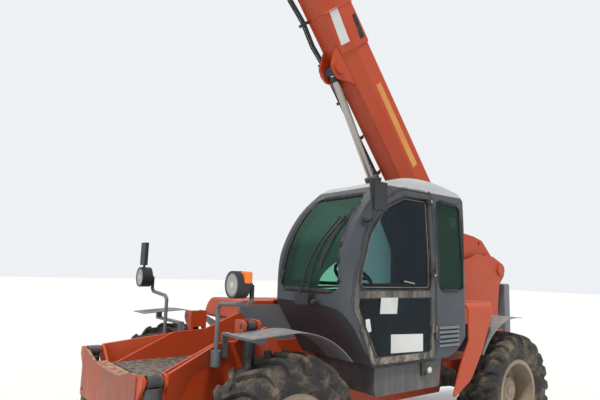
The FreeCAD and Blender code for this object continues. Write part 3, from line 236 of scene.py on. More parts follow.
lamp_amber = paint("lamp_amber", (0.86, 0.20, 0.02), (0.80, 0.28, 0.05), 0.2, 0.2, 0.0)
print("paints mixed")


# %% Rubber, chrome and cloth
def tyre_rubber():
    """Black rubber with patches of dried mud."""
    f = Finish("tyre")
    patches = f.noise(5.0, 6, 0.65)
    grit = f.noise(70.0, 5, 0.7)
    mud = (patches + grit * 0.35).above(0.60, 0.92)
    tint = f.mix(mud, (0.022, 0.021, 0.021), MUD)
    skin = f.bump(grit + mud * 0.6, 0.006)
    return f.finished(Base_Color=tint, Roughness=0.72 + mud * 0.2, Normal=skin)


def chrome_plate():
    """Hard chrome with a haze of oil."""
    f = Finish("chrome")
    haze = f.noise(3.0, 5)
    return f.finished(Base_Color=(0.40, 0.375, 0.345, 1), Metallic=1.0, Roughness=0.16 + haze * 0.16)


def rubber_hose():
    """Matt black rubber with a trace of dust."""
    f = Finish("hose")
    dust = f.noise(14.0, 5).above(0.5, 0.9)
    return f.finished(Base_Color=f.mix(dust * 0.3, (0.014, 0.014, 0.015), DUST), Roughness=0.6 + dust * 0.2)


def seat_cloth():
    """Dark woven cloth: two crossing waves of thread."""
    f = Finish("seat_fabric")
    parts = {axis: f.node("ShaderNodeSeparateXYZ", {}, {0: f.place}, axis) for axis in "XYZ"}
    weft = (parts["Y"] * 1900.0).sine()
    warp = ((parts["X"] + parts["Z"]) * 1900.0).sine()
    fade = f.noise(9.0, 4)
    tint = f.mix(fade, (0.020, 0.021, 0.024), (0.045, 0.045, 0.048))
    return f.finished(Base_Color=tint, Roughness=0.9, Normal=f.bump(weft * warp, 0.0008), Sheen_Weight=0.3)


# %% Lamp glass and lamp housings
LAMP_ACROSS, LAMP_HEIGHT = 0.900, 1.640


def around_lamp(f):
    """How far to the left a point is, and how far from its lamp's axis: the root of two squares' sum."""
    across = f.node("ShaderNodeSeparateXYZ", {}, {0: f.place}, "Y")
    left = across.larger(across * -1.0) - LAMP_ACROSS
    up = f.height() - LAMP_HEIGHT
    return across, (left * left + up * up) ** 0.5


def lamp_glass():
    """A ribbed lens: pale, with a warm painted highlight in the middle where the bulb and its reflector sit,
    and upright ribs 9 mm apart.
    """
    f = Finish("lamp_glass")
    across, away = around_lamp(f)
    painted_glint = 1 - away.above(0.008, 0.030)
    ribs = (across * 700.0).sine()
    # The warm pale centre is painted highlight: light on the bulb and its reflector, drawn into the lens's
    # colour.
    tint = f.mix(painted_glint, (0.36, 0.37, 0.36), (0.75, 0.66, 0.40))
    tint = f.mix(away.above(0.062, 0.083), tint, (0.10, 0.10, 0.10))
    rough = 0.16 + painted_glint * 0.1
    return f.finished(Base_Color=tint, Roughness=rough, Normal=f.bump(ribs, 0.0012), Coat_Weight=0.6)


def lamp_shell():
    """Black at the drum of the lamp, and the bare grey of the bent stalk away from it."""
    f = Finish("lamp_shell")
    stalk = around_lamp(f)[1].above(0.100, 0.106)
    fade = f.noise(11.0, 5)
    tint = f.mix(stalk, (0.020, 0.020, 0.022), f.mix(fade, (0.10, 0.11, 0.115), (0.17, 0.175, 0.175)))
    return f.finished(Base_Color=tint, Roughness=0.45 + fade * 0.15)


# %% Window glass
def pane(name, tint, through, dusty):
    """A thin tinted pane: clear where seen square, brighter at a slant, with dust on it.

    through is the share of light that passes where the pane is clean and seen square.
    """
    f = Finish(name)
    dust = (f.noise(7.0, 6, 0.65).above(0.45, 0.95)) * dusty
    clear = f.node("ShaderNodeBsdfTransparent", {}, {"Color": (*tint, 1)})
    shade = tuple(0.15 * c for c in tint)
    skin = f.node("ShaderNodeBsdfPrincipled", {},
                  {"Base Color": f.mix(dust.above(0, 0.5), shade, DUST), "Roughness": 0.04 + dust,
                   "Specular IOR Level": 1.0})
    slant = f.node("ShaderNodeLayerWeight", {}, {"Blend": 0.25}, "Fresnel")
    share = (slant * 0.8 + (1 - through) + dust).above(0.0, 1.0)
    both = f.node("ShaderNodeMixShader", {}, {0: share, 1: clear, 2: skin})
    f.node("ShaderNodeOutputMaterial", {}, {"Surface": both}, None)
    return f.material


tyre = tyre_rubber()
chrome = chrome_plate()
hose = rubber_hose()
seat_fabric = seat_cloth()
glass = pane("glass", (0.66, 0.86, 0.78), 0.93, 0.05)
door_pane = pane("door_pane", (0.52, 0.60, 0.66), 0.84, 0.08)
lens = lamp_glass()
shell = lamp_shell()
print("rubber, chrome, cloth and glass mixed")

# %% [markdown]
# ## Every solid gets its finish
# The record names a material slot for each node, and each slot has one finish here. A few nodes differ in the
# photograph from the rest of their slot, so they have a finish of their own.

# %% Hang the finishes on the frame
OWN = {"door_frame": door_grey, "door_glass": door_pane, "lamp_lenses": lens, "lamps": shell,
       "side_box": side_grey, "stabiliser_box": mud_and_shade_orange}
FINISHES = {m.name: m for m in (orange_paint, cab_grey, roof_pale, dark_steel, fender_grey, rim_cream,
                                black_plastic, tyre, chrome, seat_fabric, glass)}
for piece in frame["record"]["subparts"]:
    node = nodes[piece["node"]]
    for held in node.material_slots:
        held.material = OWN.get(piece["node"], FINISHES[piece["material_slot"]])
print("finished nodes:", len(nodes))

# %% [markdown]
# ## Surfaces from arrays
# Every new piece is a grid of points worked out at once with numpy: a profile carried round a wheel, or a
# section carried along a path. The grid's quads close on themselves where it wraps, and a face closes each
# open end. A small basket gathers several such closed surfaces, so that like things become one mesh.

# %% A basket of closed surfaces
class Basket:
    """Gathers closed surfaces until they become one mesh."""

    def __init__(self):
        self.points = []
        self.faces = []
        self.count = 0

    def grid(self, points, round_rows=False, round_columns=False):
        """Adds a surface from a grid of points, shape (rows, columns, 3).

        Each quad joins two neighbours in a row with the two below them. A grid whose columns close is a tube,
        and the two open ends of a tube get a face each.
        """
        rows, columns = points.shape[:2]
        row = np.arange(rows if round_rows else rows - 1)
        column = np.arange(columns if round_columns else columns - 1)
        i, j = (a.ravel() for a in np.meshgrid(row, column, indexing="ij"))
        k, m = (i + 1) % rows, (j + 1) % columns
        quads = np.stack([i * columns + j, i * columns + m, k * columns + m, k * columns + j], axis=1)
        faces = quads.tolist()
        if round_columns and not round_rows:
            faces.append(list(range(columns))[::-1])
            faces.append(list(range((rows - 1) * columns, rows * columns)))
        self.faces += [tuple(corner + self.count for corner in face) for face in faces]
        self.points.append(points.reshape(-1, 3))
        self.count += rows * columns

    def made(self, name, body, finish, smooth=35.0, bevel=0.0):
        """Makes the mesh: outside out, and smooth except where it turns by more than smooth degrees."""
        mesh = bpy.data.meshes.new(name)
        mesh.from_pydata(np.concatenate(self.points).tolist(), [], self.faces)
        mesh.validate()
        tidy = bmesh.new()
        tidy.from_mesh(mesh)
        bmesh.ops.recalc_face_normals(tidy, faces=tidy.faces)
        tidy.to_mesh(mesh)
        tidy.free()
        mesh.polygons.foreach_set("use_smooth", np.ones(len(mesh.polygons), bool))
        mesh.set_sharp_from_angle(angle=math.radians(smooth))
        mesh.materials.append(finish)
        piece = bpy.data.objects.new(name, mesh)
        bpy.context.collection.objects.link(piece)
        if bevel:
            edge = piece.modifiers.new("edge", "BEVEL")
            edge.width = bevel
            edge.segments = 2
            edge.limit_method = "ANGLE"
            edge.harden_normals = True
        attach(piece, body)
        return piece


# %% Sections carried along paths, and profiles turned about axes
def carried(path, section, closed=False, up=(0, 0, 1)):
    """A section carried along a path.

    At each point of the path, the tangent runs from the point before to the point after. Side is tangent
    cross up, top is side cross tangent, and the ring is point + a * side + b * top for each (a, b) of the
    section.
    """
    path = np.asarray(path, float)
    before, after = np.roll(path, 1, axis=0), np.roll(path, -1, axis=0)
    if not closed:
        before[0], after[-1] = path[0], path[-1]
    tangent = after - before
    tangent /= np.linalg.norm(tangent, axis=1, keepdims=True)
    side = np.cross(tangent, np.broadcast_to(np.asarray(up, float), tangent.shape))
    side /= np.linalg.norm(side, axis=1, keepdims=True)
    top = np.cross(side, tangent)
    section = np.asarray(section, float)
    return path[:, None] + section[None, :, :1] * side[:, None] + section[None, :, 1:] * top[:, None]


def ring(radius, sides):
    """A round section: cosine and sine of even steps round a circle."""
    turn = np.linspace(0, 2 * np.pi, sides, endpoint=False)
    return radius * np.stack([np.cos(turn), np.sin(turn)], axis=1)


ARC_STEPS = 6


def corner_arc(before, here, after, radius):
    """The arc that rounds a corner: its end radii, turned between each other about its centre.

    The arc ends on the corner's two sides, at radius / tan(half the angle between them) from the corner. Its
    centre is on the line that halves this angle, at radius / sin(half the angle).
    """
    back, ahead = before - here, after - here
    back, ahead = back / np.linalg.norm(back), ahead / np.linalg.norm(ahead)
    half = math.acos(float(np.clip(back @ ahead, -1, 1))) / 2
    middle = (back + ahead) / np.linalg.norm(back + ahead)
    centre = here + middle * radius / math.sin(half)
    start = here + back * radius / math.tan(half) - centre
    end = here + ahead * radius / math.tan(half) - centre
    turn = math.pi - 2 * half
    share = np.linspace(0, 1, ARC_STEPS)[:, None]
    radii = np.sin((1 - share) * turn) * start + np.sin(share * turn) * end
    return centre + radii / math.sin(turn)


def rounded_path(corners, bend):
    """Straight runs whose corners are replaced by arcs of one radius."""
    corners = [np.asarray(c, float) for c in corners]
    path = [corners[0]]
    for before, here, after in zip(corners, corners[1:], corners[2:]):
        path.extend(corner_arc(before, here, after, bend))
    path.append(corners[-1])
    return np.array(path)


def turned(profile, centre, axis, sides):
    """A profile of (distance along the axis, radius) turned about the axis through the centre.

    With two unit vectors a and b square to the axis, each point is
    centre + d * axis + r * (cos t * a + sin t * b).
    """
    axis = np.asarray(axis, float) / np.linalg.norm(axis)
    a = np.cross(axis, (0.0, 0.0, 1.0)) if abs(axis[2]) < 0.9 else np.cross(axis, (1.0, 0.0, 0.0))
    a /= np.linalg.norm(a)
    b = np.cross(axis, a)
    turn = np.linspace(0, 2 * np.pi, sides, endpoint=False)
    spokes = np.cos(turn)[:, None] * a + np.sin(turn)[:, None] * b
    profile = np.asarray(profile, float)
    return np.asarray(centre) + profile[:, :1, None] * axis + profile[:, 1:, None] * spokes[None]


# %% [markdown]
# ## Tyres with lugs
# A field tyre pulls with its lugs: thick bars that start high on the shoulder, lean over the crown and meet
# near the middle, left and right in turn. The carcass is a profile turned about the axle. A lug is a short
# bar whose centre line is a curve on the carcass, so its points are found from three numbers: how far along
# the bar, how far across it, and how high above the rubber.

# %% Skin of the tread
TREAD_RADIUS = 0.552
CROWN_SHARE = 0.62
CROWN_HALF, CROWN_FALL = 0.142, 0.010
SHOULDER_WIDTH, SHOULDER_FALL = 0.052, 0.085


def tyre_skin(v):
    """Distance across and radius of the carcass, for v from 0 in the middle to 1 at the wall.

    The crown falls by the square of its share of v, and the shoulder is a quarter of an ellipse.
    """
    crown = np.clip(v / CROWN_SHARE, 0, 1)
    turn = np.clip((v - CROWN_SHARE) / (1 - CROWN_SHARE), 0, 1) * np.pi / 2
    across = CROWN_HALF * crown + SHOULDER_WIDTH * np.sin(turn)
    radius = TREAD_RADIUS - CROWN_FALL * crown ** 2 - SHOULDER_FALL * (1 - np.cos(turn))
    return across, radius


# %% Lugs
TYRE_LUGS = 22
LUG_STEPS = 12
LUG_DEPTH = 0.036
LUG_LEAD, LUG_CURVE = 0.26, 1.3
LUG_HALF, LUG_WIDENS = 0.021, 0.012
# The lug's section as rows of (across by its half width, up by its depth), from one foot to the other.
LUG_SECTION = np.array([(-1.18, -0.25), (-1.0, 0.55), (-0.92, 0.94), (-0.72, 1.0), (0.72, 1.0), (0.92, 0.94),
                        (1.0, 0.55), (1.18, -0.25)])


def lugs(side):
    """All lugs of one side as an array: lug, step along, step round the section, and x, y, z.

    A step along the bar is v on the carcass and an angle that leads towards the middle. The section goes up
    one flank, over the top and down the other, each flank leaning in a little.
    """
    v = np.linspace(-0.06, 1.0, LUG_STEPS)
    across, radius = tyre_skin(np.abs(v))
    across = across * np.sign(v + 1e-9)
    slope_across, slope_radius = np.gradient(across), np.gradient(radius)
    length = np.hypot(slope_across, slope_radius)
    out_across, out_radius = -slope_radius / length, slope_across / length
    lead = -LUG_LEAD * (1 - np.clip(v, 0, 1)) ** LUG_CURVE
    depth = LUG_DEPTH * np.clip((1.04 - v) / 0.30, 0.18, 1.0)
    half = LUG_HALF + LUG_WIDENS * np.clip(v, 0, 1)
    rise = LUG_SECTION[None, :, 1] * depth[:, None]
    y = across[:, None] + out_across[:, None] * rise
    r = radius[:, None] + out_radius[:, None] * rise
    start = (np.arange(TYRE_LUGS) + (0.5 if side < 0 else 0.0)) * 2 * np.pi / TYRE_LUGS
    aside = LUG_SECTION[None, None, :, 0] * (half / TREAD_RADIUS)[None, :, None]
    angle = start[:, None, None] + lead[None, :, None] + aside
    r = np.broadcast_to(r, angle.shape)
    y = np.broadcast_to(side * y, angle.shape)
    return np.stack([r * np.cos(angle), y, r * np.sin(angle)], axis=-1)


# %% Tyres
# The wall below the tread's skin as rows of (distance across, radius), down to the bead.
WALL = [(0.1985, 0.445), (0.1955, 0.425), (0.1965, 0.405), (0.190, 0.375), (0.178, 0.345), (0.166, 0.327),
        (0.160, 0.322), (0.157, 0.312), (0.150, 0.3065)]


def carcass():
    """Tread, walls and beads as one closed ring: the skin, then the bulged walls down to the beads."""
    half = np.concatenate([np.stack(tyre_skin(np.linspace(0, 1, 12)), axis=1), WALL])
    profile = np.concatenate([half[::-1], half[1:] * (-1, 1)])
    return turned(profile, (0, 0, 0), (0, 1, 0), 132)


def make_tyres():
    """Four tyres, each centred on its own solid, lugs pointing forward at the top."""
    rubber = carcass()
    for corner, centre in WHEELS.items():
        basket = Basket()
        basket.grid(rubber + centre, round_rows=True, round_columns=True)
        for side in (1, -1):
            for bar in lugs(side):
                basket.grid(bar + centre, round_columns=True)
        piece = basket.made("tyre_with_lugs_" + corner, "wheel_" + corner, tyre, 40)
        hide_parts("tyre_" + corner)
        print(piece.name, len(piece.data.polygons), "faces")


make_tyres()

# %% [markdown]
# ## Trim that lies on the cab's skin
# Seals, labels and handles follow a curved cab. Their outlines are drawn flat, as seen from the front or the
# side, and straight lines carry each point onto the skin of a solid, to where such a line leaves the solid
# last. All lines meet all triangles at once, by barycentric shares, so there is no loop over points.

# %% Lines that meet the skin
def triangles(node):
    """A node's triangles: shape (triangle, corner, xyz)."""
    mesh = nodes[node].data
    mesh.calc_loop_triangles()
    corners = np.empty(len(mesh.loop_triangles) * 3, np.int32)
    mesh.loop_triangles.foreach_get("vertices", corners)
    points = np.empty(len(mesh.vertices) * 3, np.float32)
    mesh.vertices.foreach_get("co", points)
    return points.reshape(-1, 3)[corners].reshape(-1, 3, 3).astype(float)


def on_skin(mesh, axis, places, way=1):
    """The third coordinate where lines along an axis leave the skin, for places given by the two other ones.

    A line meets a triangle where its three area shares are all above zero, and the depth there is the
    corners' depths weighted by those shares. The furthest one out counts. A line that meets nothing takes the
    value of the nearest place that met something.
    """
    places = np.asarray(places, float)
    others = [i for i in range(3) if i != axis]
    a, b, c = (mesh[:, k][:, others] for k in range(3))
    area = np.cross(b - a, c - a)
    good = np.abs(area) > 1e-10
    a, b, c, area, deep = a[good], b[good], c[good], area[good], mesh[good][:, :, axis]
    p = places[:, None, :]
    share_a = np.cross(b - p, c - p) / area
    share_b = np.cross(c - p, a - p) / area
    share_c = 1 - share_a - share_b
    inside = (share_a > -1e-6) & (share_b > -1e-6) & (share_c > -1e-6)
    depth = share_a * deep[:, 0] + share_b * deep[:, 1] + share_c * deep[:, 2]
    depth = np.where(inside, depth * way, -np.inf).max(axis=1)
    found = np.isfinite(depth)
    gap = np.linalg.norm(places[:, None] - places[None, found], axis=2)
    return way * np.where(found, depth, depth[found][gap.argmin(axis=1)])


# %% Outlines that lie on the skin
def outline(corners):
    """A closed flat outline from corners (a, b, radius): each corner is an arc that touches its two sides."""
    places = np.array([c[:2] for c in corners], float)
    path = []
    for before, here, after, corner in zip(np.roll(places, 1, 0), places, np.roll(places, -1, 0), corners):
        path.extend(corner_arc(before, here, after, corner[2]))
    return np.array(path)


def evenly(path, spacing):
    """The same closed path with points about a spacing apart, on straight lines between its old points."""
    closed = np.vstack([path, path[:1]])
    along = np.concatenate([[0], np.cumsum(np.linalg.norm(np.diff(closed, axis=0), axis=1))])
    steps = max(8, int(along[-1] / spacing))
    where = np.linspace(0, along[-1], steps, endpoint=False)
    return np.stack([np.interp(where, along, closed[:, k]) for k in range(closed.shape[1])], axis=1)


SLOPE_STEP = 0.012
STEEPEST = 3


def lifted(mesh, axis, places, way=1, out=0.0):
    """Places on the skin as points, moved out along the axis, with the skin's normals beside them.

    A normal is the axis minus the skin's slope along each of the two other directions, made one long.
    """
    others = [i for i in range(3) if i != axis]
    points = np.empty((len(places), 3))
    points[:, others] = places
    points[:, axis] = on_skin(mesh, axis, places, way)
    normals = np.zeros((len(places), 3))
    normals[:, axis] = way
    for k, other in enumerate(others):
        shift = np.zeros(2)
        shift[k] = SLOPE_STEP
        rise = on_skin(mesh, axis, places + shift, way) - on_skin(mesh, axis, places - shift, way)
        normals[:, other] = -way * np.clip(rise / (2 * SLOPE_STEP), -STEEPEST, STEEPEST)
    normals /= np.linalg.norm(normals, axis=1, keepdims=True)
    return points + normals * out, normals


# %% A rubber seal
FLAT_SEAL = np.array([(-1, -1), (1, -1), (1, 0.2), (0.6, 1), (-0.6, 1), (-1, 0.2)])
SEAL_STEP, SEAL_SINK = 0.03, 0.004


def seal(basket, skin, axis, shape, width, rise):
    """Adds a rubber seal: a low flat section carried round an outline that lies on the skin."""
    path, normals = lifted(skin, axis, evenly(shape, SEAL_STEP), 1, -SEAL_SINK)
    section = FLAT_SEAL * (width / 2, rise)
    basket.grid(carried(path, section, True, normals), round_rows=True, round_columns=True)


# %% [markdown]
# ## Cab trim
# The windscreen and the quarter pane behind the door sit in black rubber.

# %% Cab seals
def from_middle(x):
    """A place along the machine, from its distance ahead of the middle of the wheelbase."""
    return MIDDLE_X + x


def shifted(rows):
    """Outline rows whose first number is measured from the middle of the wheelbase."""
    return [(from_middle(x), z, r) for x, z, r in rows]


cab_skin = np.concatenate([triangles("cab_frame"), triangles("cab_roof"), triangles("cab_glass")])
door_skin = np.concatenate([triangles("door_frame"), triangles("door_glass")])
SCREEN = [(0.330, 1.600, 0.05), (1.060, 1.600, 0.05), (1.010, 2.415, 0.08), (0.370, 2.415, 0.08)]
QUARTER = shifted([(-0.500, 1.615, 0.04), (-0.135, 1.615, 0.04), (-0.135, 2.430, 0.04),
                   (-0.500, 2.400, 0.06)])
DOORWAY = shifted([(-0.078, 1.037, 0.03), (0.693, 1.037, 0.04), (0.908, 1.480, 0.06), (0.883, 1.750, 0.3),
                   (0.783, 2.060, 0.3), (0.563, 2.353, 0.2), (0.303, 2.478, 0.12), (-0.078, 2.478, 0.04)])


def cab_seals():
    """The seals of the windscreen and the quarter pane as one rubber piece."""
    basket = Basket()
    seal(basket, cab_skin, 0, outline(SCREEN), width=0.040, rise=0.010)
    seal(basket, cab_skin, 1, outline(QUARTER), width=0.034, rise=0.008)
    piece = basket.made("cab_seals", "chassis", hose, 50)
    print(piece.name, len(piece.data.polygons), "faces")


cab_seals()

# %% [markdown]
# ## Small solid shapes
# Most trim is one of four things: a brick, a tube along a bent line, a round knob, or a thin label on a skin.
# Each is a grid with two or more rows, so the same basket closes them all.

# %% Bricks, tubes, knobs and labels
X, Y, Z = np.eye(3)


def brick(basket, centre, half, x=X, y=Y, z=Z):
    """A box: centre plus or minus half sizes along three directions."""
    turn = np.array([(-1, -1), (1, -1), (1, 1), (-1, 1)], float)
    flat = np.asarray(centre) + turn[:, :1] * half[0] * x + turn[:, 1:] * half[1] * y
    basket.grid(np.stack([flat - half[2] * z, flat + half[2] * z]), round_columns=True)


TUBE_SIDES = 10


def tube(basket, corners, bend, radius, up=Z):
    """A round bar along straight runs with arcs of one radius at the corners."""
    basket.grid(carried(rounded_path(corners, bend), ring(radius, TUBE_SIDES), up=up), round_columns=True)


def knob(basket, place, axis, start, shoulder, end, radius, tip, sides=16):
    """A head on an axis: straight from start to shoulder, then a cone down to the tip's radius at the end."""
    profile = [(start, radius), (shoulder, radius), (end, tip)]
    basket.grid(turned(profile, place, axis, sides), round_columns=True)


LABEL_SINK = 0.001


def label(basket, skin, axis, shape, thick=0.0015, way=1):
    """A thin plate on a skin: its outline a millimetre inside the surface, and again just outside it."""
    inner, normals = lifted(skin, axis, np.asarray(shape, float), way, -LABEL_SINK)
    basket.grid(np.stack([inner, inner + normals * (LABEL_SINK + thick)]), round_columns=True)


# %% [markdown]
# ## The boom's pipes, clamps and labels
# Steel pipes run up under the boom in clamps, and labels lie on its side. The boom stands at a steep angle,
# so its trim is placed by three easy numbers: how far up the boom, how far below its line, and how far to
# the left.

# %% Places on the boom
BOOM_PIVOT = (from_middle(-2.5), 1.84)
BOOM_RISE = math.radians(52.7)
UP_BOOM = np.array([math.cos(BOOM_RISE), 0, math.sin(BOOM_RISE)])
BELOW_BOOM = np.array([math.sin(BOOM_RISE), 0, -math.cos(BOOM_RISE)])


def on_boom(rows):
    """Rows of (up the boom, below its line, to the left) as points: pivot + s * up + n * below + y."""
    s, n, y = np.atleast_2d(np.asarray(rows, float)).T[:, :, None]
    return np.array([BOOM_PIVOT[0], 0, BOOM_PIVOT[1]]) + s * UP_BOOM + n * BELOW_BOOM + y * Y


# %% Pipes and clamps
# Each pipe: how far to the left, how far below the boom's line, and its radius.
PIPES = [(-0.142, 0.800, 0.014), (-0.176, 0.785, 0.011), (-0.152, 0.838, 0.009)]
PIPE_BEND = 0.07
CLAMPS_FROM, CLAMPS_TO, CLAMPS = 1.5, 4.35, 7


def boom_pipes():
    """Three pipes under the boom's right edge, with a step where they pass the collar, and their clamps."""
    basket = Basket()
    for y, n, radius in PIPES:
        rows = [(1.10, 0.742, y + 0.05), (1.24, n, y), (2.4, n + 0.004, y), (3.40, n, y),
                (3.62, n + 0.024, y), (3.90, n - 0.004, y), (4.16, n + 0.026, y), (4.44, n, y),
                (4.57, 0.742, y + 0.06)]
        tube(basket, on_boom(rows), PIPE_BEND, radius)
    basket.made("boom_pipes", "boom", hose, 50)
    clamps = Basket()
    for s in np.linspace(CLAMPS_FROM, CLAMPS_TO, CLAMPS):
        brick(clamps, on_boom((s, 0.800, -0.158))[0], (0.016, 0.052, 0.034), UP_BOOM, Y, BELOW_BOOM)
        brick(clamps, on_boom((s, 0.735, -0.148))[0], (0.005, 0.030, 0.060), UP_BOOM, Y, BELOW_BOOM)
    piece = clamps.made("boom_clamps", "boom", dark_steel, 30, 0.003)
    print(piece.name, len(piece.data.polygons), "faces")


# %% Labels and welds
boom_skin = triangles("boom_outer")
BOOM_SIDE = 0.2
# The boom's section from its left side round below to its right one: how far to the left, and below its line.
BOOM_SECTION = [(0.2, 0.37), (0.2, 0.595), (0.12, 0.75), (-0.12, 0.75), (-0.2, 0.595), (-0.2, 0.37)]
# Each weld: how far up the boom it is, and how much larger the section is there.
WELDS = [(3.397, 0.0), (3.86, 0.012)]


def boom_labels():
    """A blank white plate on the lower slope, a blank yellow strip, and a black plate near the upper edge
    that is painted shade: the dark inside of a slot.
    """
    shapes = {
        "white_plate": (label_white, [(3.87, 0.606), (3.49, 0.632), (3.49, 0.728), (3.87, 0.694)]),
        "yellow_strip": (label_yellow, [(2.93, 0.462), (1.87, 0.470), (1.87, 0.560), (2.93, 0.548)]),
        # This black plate is painted shade, put where a slot's opening is dark inside.
        "slot_shade": (hose, [(3.725, 0.385), (3.455, 0.400), (3.455, 0.482), (3.725, 0.445)]),
    }
    for name, (finish, corners) in shapes.items():
        basket = Basket()
        label(basket, boom_skin, 1, on_boom([(s, n, BOOM_SIDE) for s, n in corners])[:, [0, 2]])
        basket.made("boom_" + name, "boom", finish, 30)


def boom_welds():
    """Weld beads round the collar's two ends: a thin bar carried round the boom's own section."""
    basket = Basket()
    for s, grow in WELDS:
        rows = [(s, n + grow * np.sign(n - 0.5), y + grow * np.sign(y)) for y, n in BOOM_SECTION]
        path = evenly(on_boom(rows), 0.02)
        basket.grid(carried(path, ring(0.006, 8), True, UP_BOOM), round_rows=True, round_columns=True)
    basket.made("boom_welds", "boom", orange_paint, 60)


# %% Sleeves on the lift rod
ROD_EYE = np.array([0.0647, 0.0, 3.9238])
DOWN_ROD = np.array([-0.49060, 0.0, -0.87138])
# Each sleeve: its axis, where it starts and ends along it, and its inner and outer radius.
SLEEVES = [(Y, -0.0695, 0.0695, 0.0502, 0.0550), (DOWN_ROD, 0.058, 0.118, 0.0402, 0.0520)]


def rod_sleeves():
    """The dark sleeves on the lift rod's eye and on its neck, each a thin ring turned about its own line."""
    basket = Basket()
    for axis, start, end, inner, outer in SLEEVES:
        section = [(start, inner), (start, outer), (end, outer), (end, inner)]
        basket.grid(turned(section, ROD_EYE, axis, 32), round_rows=True, round_columns=True)
    basket.made("rod_sleeves", "lift_rod", black_plastic, 40)


boom_pipes()
boom_labels()
boom_welds()
rod_sleeves()

# %% [markdown]
# ## Wiper, louvre and lamps
# The wiper is a pair of thin arms that carry a blade, so its lines follow the curved windscreen at a small
# height. The louvre lies in the cab's lower corner behind the door. The near lamp gets its amber turn light,
# and the far one a mirror on top.

# %% The windscreen's wiper
def off_screen(places, out):
    """Places (to the left, height) on the windscreen as points a little way off it."""
    return lifted(cab_skin, 0, np.asarray(places, float), 1, out)[0]


ARM_HEIGHT, BLADE_HEIGHT = 0.040, 0.020
BLADE_SECTION = [(-0.006, -0.014), (0.006, -0.014), (0.004, 0.016), (-0.004, 0.016)]


def wiper():
    """Motor box and spindle cap under the glass, two arms, the joint between them and the blade."""
    basket = Basket()
    brick(basket, off_screen([(0.700, 1.522)], 0.030)[0], (0.030, 0.090, 0.044))
    knob(basket, off_screen([(0.825, 1.505)], 0.0)[0], X, -0.02, 0.045, 0.052, 0.022, 0.014)
    for arm in ([(0.655, 1.560), (0.726, 1.817), (0.812, 1.988), (0.930, 2.170)],
                [(0.745, 1.560), (0.799, 1.840), (0.870, 2.000), (0.985, 2.165)]):
        tube(basket, off_screen(arm, ARM_HEIGHT), bend=0.5, radius=0.008)
    brick(basket, off_screen([(0.957, 2.170)], ARM_HEIGHT)[0], (0.010, 0.042, 0.014))
    blade = [(0.845, 1.772), (0.880, 1.900), (0.931, 2.060), (0.985, 2.165), (1.035, 2.260)]
    path = rounded_path(off_screen(blade, BLADE_HEIGHT), 0.6)
    basket.grid(carried(path, BLADE_SECTION), round_columns=True)
    piece = basket.made("wiper", "chassis", black_plastic, 40, 0.002)
    print(piece.name, len(piece.data.polygons), "faces")


# %% Louvre, turn light and far mirror
SLAT_SECTION = [(-0.008, -0.011), (0.008, -0.011), (0.004, 0.011), (-0.002, 0.011)]


def louvre():
    """Five slats over a black plate in the cab's lower corner, painted shade for the dark inside of the
    opening.
    """
    left, right, low, high = from_middle(-0.405), from_middle(-0.130), 1.115, 1.300
    dark = Basket()
    # The black plate behind the slats is painted shade inside the opening.
    label(dark, cab_skin, 1, [(left, low), (right, low), (right, high), (left, high)])
    dark.made("louvre_opening_shade", "chassis", hose, 30)
    slats = Basket()
    for z in np.linspace(low + 0.020, high - 0.012, 5):
        ends = lifted(cab_skin, 1, np.array([(left - 0.006, z), (right + 0.006, z)]), 1, 0.006)[0]
        slats.grid(carried(ends, SLAT_SECTION), round_columns=True)
    slats.made("louvre_slats", "chassis", fender_grey, 30, 0.001)


def lamp_parts():
    """The amber turn light on the near lamp's drum, and the mirror that stands on the far one."""
    amber = Basket()
    brick(amber, (from_middle(1.762), 0.964, 1.692), (0.030, 0.040, 0.042))
    amber.made("turn_light", "chassis", lamp_amber, 30, 0.012)
    far, x = Basket(), from_middle(1.795)
    brick(far, (x, -0.930, 1.866), (0.018, 0.060, 0.112))
    tube(far, [(x, -0.915, 1.715), (x, -0.915, 1.775)], bend=0.01, radius=0.012, up=X)
    far.made("far_mirror", "chassis", black_plastic, 30, 0.006)


wiper()
louvre()
lamp_parts()

# %% [markdown]
# ## The door's trim
# The door is two dark panes in a dusty ring. Rubber goes round each pane, a pale edge shows inside the upper
# one, and three blank labels lie on the lower one. The clamps, the lever and the catch are what a hand would
# find.

# %% Door seals
UPPER_PANE = shifted([(-0.020, 1.616, 0.03), (0.846, 1.616, 0.04), (0.838, 1.750, 0.3), (0.738, 2.050, 0.3),
                      (0.528, 2.312, 0.2), (0.285, 2.420, 0.1), (-0.020, 2.420, 0.03)])
LOWER_PANE = shifted([(-0.020, 1.094, 0.03), (0.668, 1.094, 0.05), (0.848, 1.478, 0.05), (0.845, 1.552, 0.02),
                      (-0.020, 1.552, 0.03)])


def grown(shape, by):
    """An outline moved outwards: each point goes along the mean of its two side normals."""
    along = np.roll(shape, -1, 0) - np.roll(shape, 1, 0)
    out = np.stack([along[:, 1], -along[:, 0]], axis=1) / np.linalg.norm(along, axis=1, keepdims=True)
    return shape + out * by


def door_seals():
    """Rubber round both panes and round the doorway, and the pale edge inside the upper pane."""
    rubber = Basket()
    seal(rubber, door_skin, 1, outline(UPPER_PANE), width=0.028, rise=0.007)
    seal(rubber, door_skin, 1, outline(LOWER_PANE), width=0.022, rise=0.007)
    rubber.made("door_seals", "cab_door", hose, 50)
    edge = Basket()
    inside = grown(evenly(outline(UPPER_PANE), SEAL_STEP), -0.022)
    seal(edge, door_skin, 1, inside, width=0.007, rise=0.006)
    edge.made("door_pane_edge", "cab_door", rim_cream, 50)
    doorway = Basket()
    outside = grown(evenly(outline(DOORWAY), SEAL_STEP), 0.018)
    seal(doorway, cab_skin, 1, outside, width=0.012, rise=0.004)
    doorway.made("doorway_seal", "chassis", hose, 50)


# %% Door labels, clamps, lever and catch
DOOR_LABELS = [[(0.41, 1.424), (0.61, 1.429), (0.61, 1.556), (0.41, 1.556)],
               [(0.705, 1.298), (0.745, 1.288), (0.770, 1.312), (0.770, 1.390), (0.725, 1.394)],
               [(0.079, 1.104), (0.480, 1.114), (0.480, 1.262), (0.079, 1.248)]]


